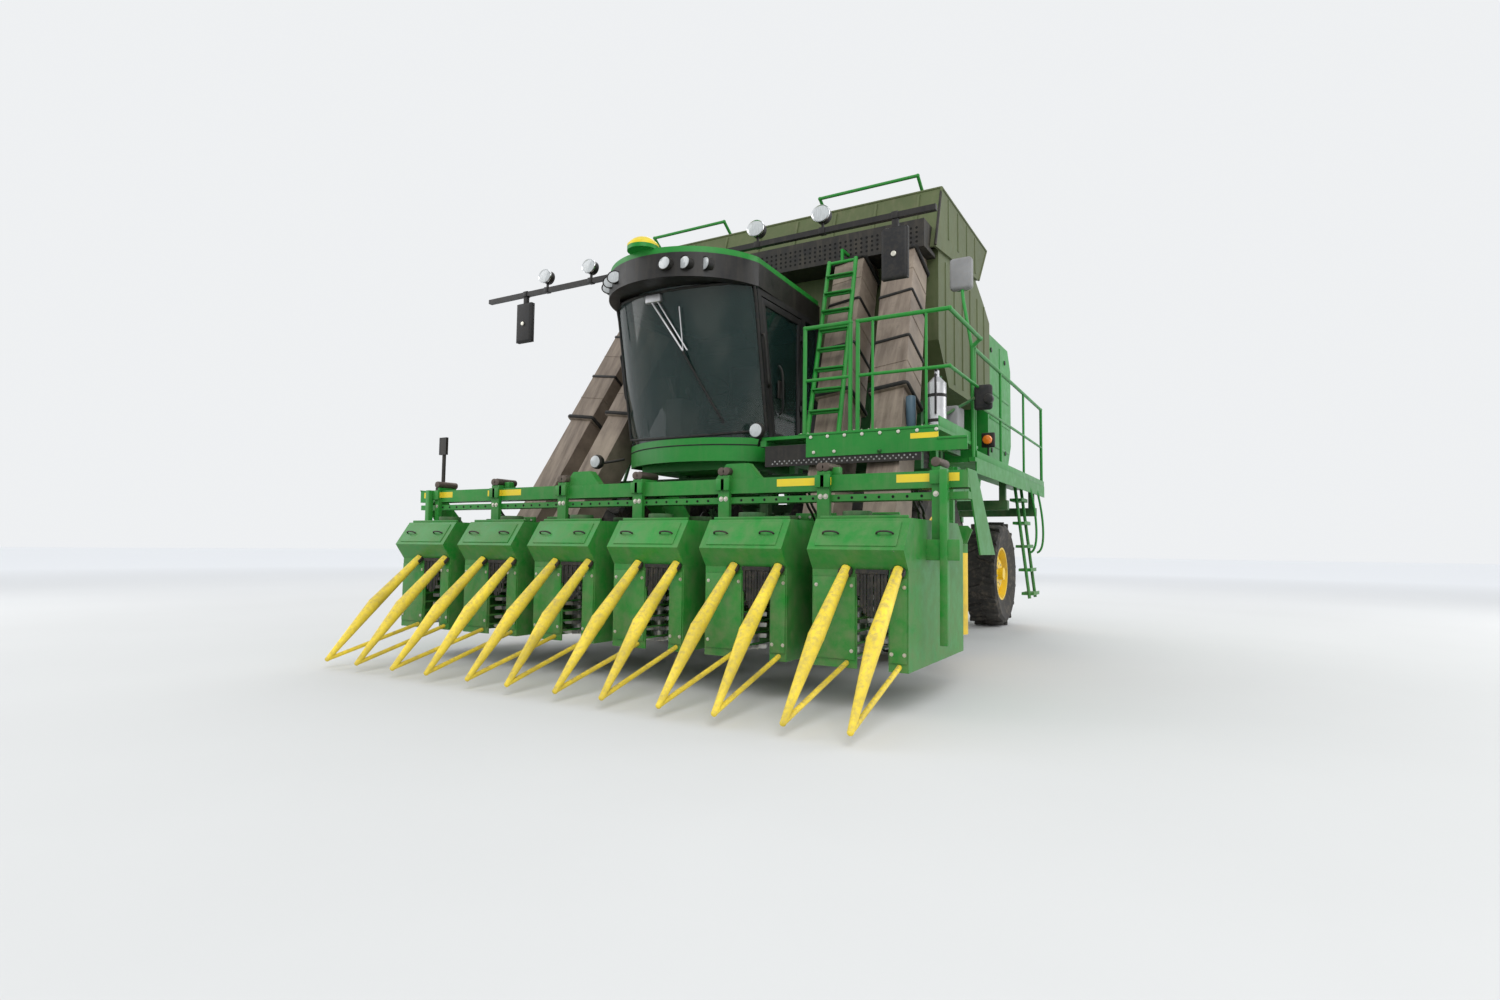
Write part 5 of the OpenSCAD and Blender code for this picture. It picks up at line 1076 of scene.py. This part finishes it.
def dressControls():
    x, z = seat["x"], seat["floor"]
    radius, level = steering["radius"], steering["level"]
    angles = [k * math.tau / 32 for k in range(32)]
    rim = [(radius * math.cos(a), radius * math.sin(a), level) for a in angles]
    hub = turnedDisc(0.045, 0.04, 24, 0.006, inset=0.01, dish=0.004)
    hub.location = (0, 0, 0.70)
    wheel = [tubeAlong(rim, 0.0135, closed=True, sides=6), hub]
    for angle in (math.radians(30 + 120 * k) for k in range(3)):
        wheel.append(tubeAlong([(0.03 * math.cos(angle), 0.03 * math.sin(angle), 0.716),
                                (0.188 * math.cos(angle), 0.188 * math.sin(angle), level)], 0.009))
    wheel.append(tubeAlong([(0, 0, 0.03), (0, 0, 0.30), (0, 0, 0.70)], 0.05, sides=6))
    boot = turnedDisc(0.085, 0.12, 24, 0.02)
    boot.location = (0, 0, 0.04)
    wheel = joined(wheel + [boot])
    wheel.matrix_world = turnedAt((x, steering["y"], z), math.radians(steering["turn"]))
    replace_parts(settled(wheel, "steeringWheel", sealRubber, slot="cab_trim", smooth=50), "cab_interior")

    console = [softBox((-0.74, -2.16, z), (-0.52, -1.70, z + 0.56), 0.02, 4),
               softBox((-0.73, -2.14, z + 0.552), (-0.53, -1.80, z + 0.575), 0.006),
               tubeAlong([(-0.63, -2.12, z + 0.54), (-0.635, -2.20, z + 0.68), (-0.64, -2.26, z + 0.82)],
                         0.02, sides=6)]
    for k in range(6):
        key = turnedDisc(0.012, 0.014, 12, 0.003)
        key.location = (-0.69 + 0.055 * (k % 3), -2.08 + 0.07 * (k // 3), z + 0.57)
        console.append(key)
    console.append(tubeAlong([(-0.60, -1.90, z + 0.57), (-0.60, -1.93, z + 0.68)], 0.009))
    knob = turnedDisc(0.024, 0.07, 20, 0.011)
    knob.location = (-0.60, -1.935, z + 0.66)
    console.append(knob)
    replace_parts(settled(console, "sideConsole", shellGrey, smooth=40), "cab_interior")
    monitor = [softBox((-0.76, -2.30, z + 0.79), (-0.52, -2.252, z + 0.99), 0.01, 3),
               softBox((-0.745, -2.2535, z + 0.805), (-0.535, -2.246, z + 0.975), 0.003)]
    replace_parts(settled(monitor, "cabMonitor", holeBlack, slot="cab_trim", smooth=40), "cab_interior")


for stage in (dressHeader, dressCabinets, dressHeaderEnds, dressScreen, dressDoor, dressLamps, dressMirrors,
              dressPlatform, dressLadder, dressWalkway, dressExtinguisher, dressDucts, dressConduits,
              dressAccumulator, dressBuilder, dressEngineBay, dressFans, dressWheels, dressSeat,
              dressControls):
    stage()
    print("made:", stage.__name__)


viewpoint = {"place": (4.331, -9.015, 1.129), "yaw": 30.07, "pitch": 3.51, "roll": 0.66, "lens": 18.45}


def addCamera():
    yaw, pitch, roll = (math.radians(viewpoint[k]) for k in ("yaw", "pitch", "roll"))
    ahead = Vector((-math.sin(yaw) * math.cos(pitch), math.cos(yaw) * math.cos(pitch), math.sin(pitch)))
    right = ahead.cross(Vector((0, 0, 1))).normalized()
    up = right.cross(ahead)
    turned = right * math.cos(roll) + up * math.sin(roll)
    upTurned = up * math.cos(roll) - right * math.sin(roll)
    data = bpy.data.cameras.new("photoCamera")
    data.lens = viewpoint["lens"]
    data.sensor_width = 36
    data.clip_end = 300
    camera = bpy.data.objects.new("photoCamera", data)
    bpy.context.collection.objects.link(camera)
    basis = Matrix((turned, upTurned, -ahead)).transposed().to_4x4()
    camera.matrix_world = Matrix.Translation(Vector(viewpoint["place"])) @ basis
    bpy.context.scene.camera = camera


lamps = {"keyLamp": {"place": (9, -13, 13), "power": 1150, "size": 9},
         "fillLamp": {"place": (-13, -9, 9), "power": 560, "size": 10},
         "backLamp": {"place": (-7, 13, 12), "power": 900, "size": 10},
         "sideLamp": {"place": (14, 6, 8), "power": 650, "size": 9}}


def addLight():
    for name, lamp in lamps.items():
        data = bpy.data.lights.new(name, "AREA")
        data.energy = lamp["power"]
        data.size = lamp["size"]
        light = bpy.data.objects.new(name, data)
        light.location = lamp["place"]
        light.rotation_euler = (Vector((0, 0, 2)) - Vector(lamp["place"])).to_track_quat("-Z", "Y").to_euler()
        bpy.context.collection.objects.link(light)


backdrop = {"floor": (0.62, 0.62, 0.61), "far": (0.92, 0.925, 0.93), "sky": (0.86, 0.875, 0.89),
            "skyLight": 0.95, "span": 260}


def addFloor():
    pickNone()
    bpy.ops.mesh.primitive_grid_add(x_subdivisions=4, y_subdivisions=4, size=backdrop["span"],
                                    location=(0, 0, 0))
    floor = bpy.context.object
    floor.name = "studioFloor"
    f = Finish("floorMatt")
    mottle = f.fade(f.noise(0.4, 6), 0.3, 0.7)
    # the floor pales with distance, so it meets the sky without a band
    span = f.spanOf(*f.axesOf(f.coords)[:2])
    near = f.mixed(mottle, [c * 0.97 for c in backdrop["floor"]], backdrop["floor"])
    shade = f.mixed(f.fade(span, 10, 34), near, backdrop["far"])
    floor.data.materials.append(f.shaded(shade, f.fade(f.noise(0.4, 6), 0.3, 0.7, 0.85, 0.95)))


def addSky():
    world = bpy.data.worlds.new("studioSky")
    world.use_nodes = True
    bpy.context.scene.world = world
    world.node_tree.nodes.clear()
    sky = Nodes(world.node_tree)
    rays = sky.node("LightPath").outputs
    seen = sky.calc("MAXIMUM", rays["Is Camera Ray"], rays["Is Glossy Ray"])
    seen = sky.calc("MAXIMUM", seen, rays["Is Transmission Ray"])
    light = sky.node("Background", {"Color": (0.93, 0.96, 1.0, 1.0), "Strength": backdrop["skyLight"]})
    pale = sky.node("Background", {"Color": (*backdrop["sky"], 1.0)})
    blend = sky.node("MixShader", {0: seen, 1: light.outputs[0], 2: pale.outputs[0]})
    sky.node("OutputWorld", {"Surface": blend.outputs[0]})


addCamera()
addLight()
addFloor()
addSky()
bpy.context.scene.view_settings.view_transform = "Standard"
print("camera, light and floor set")
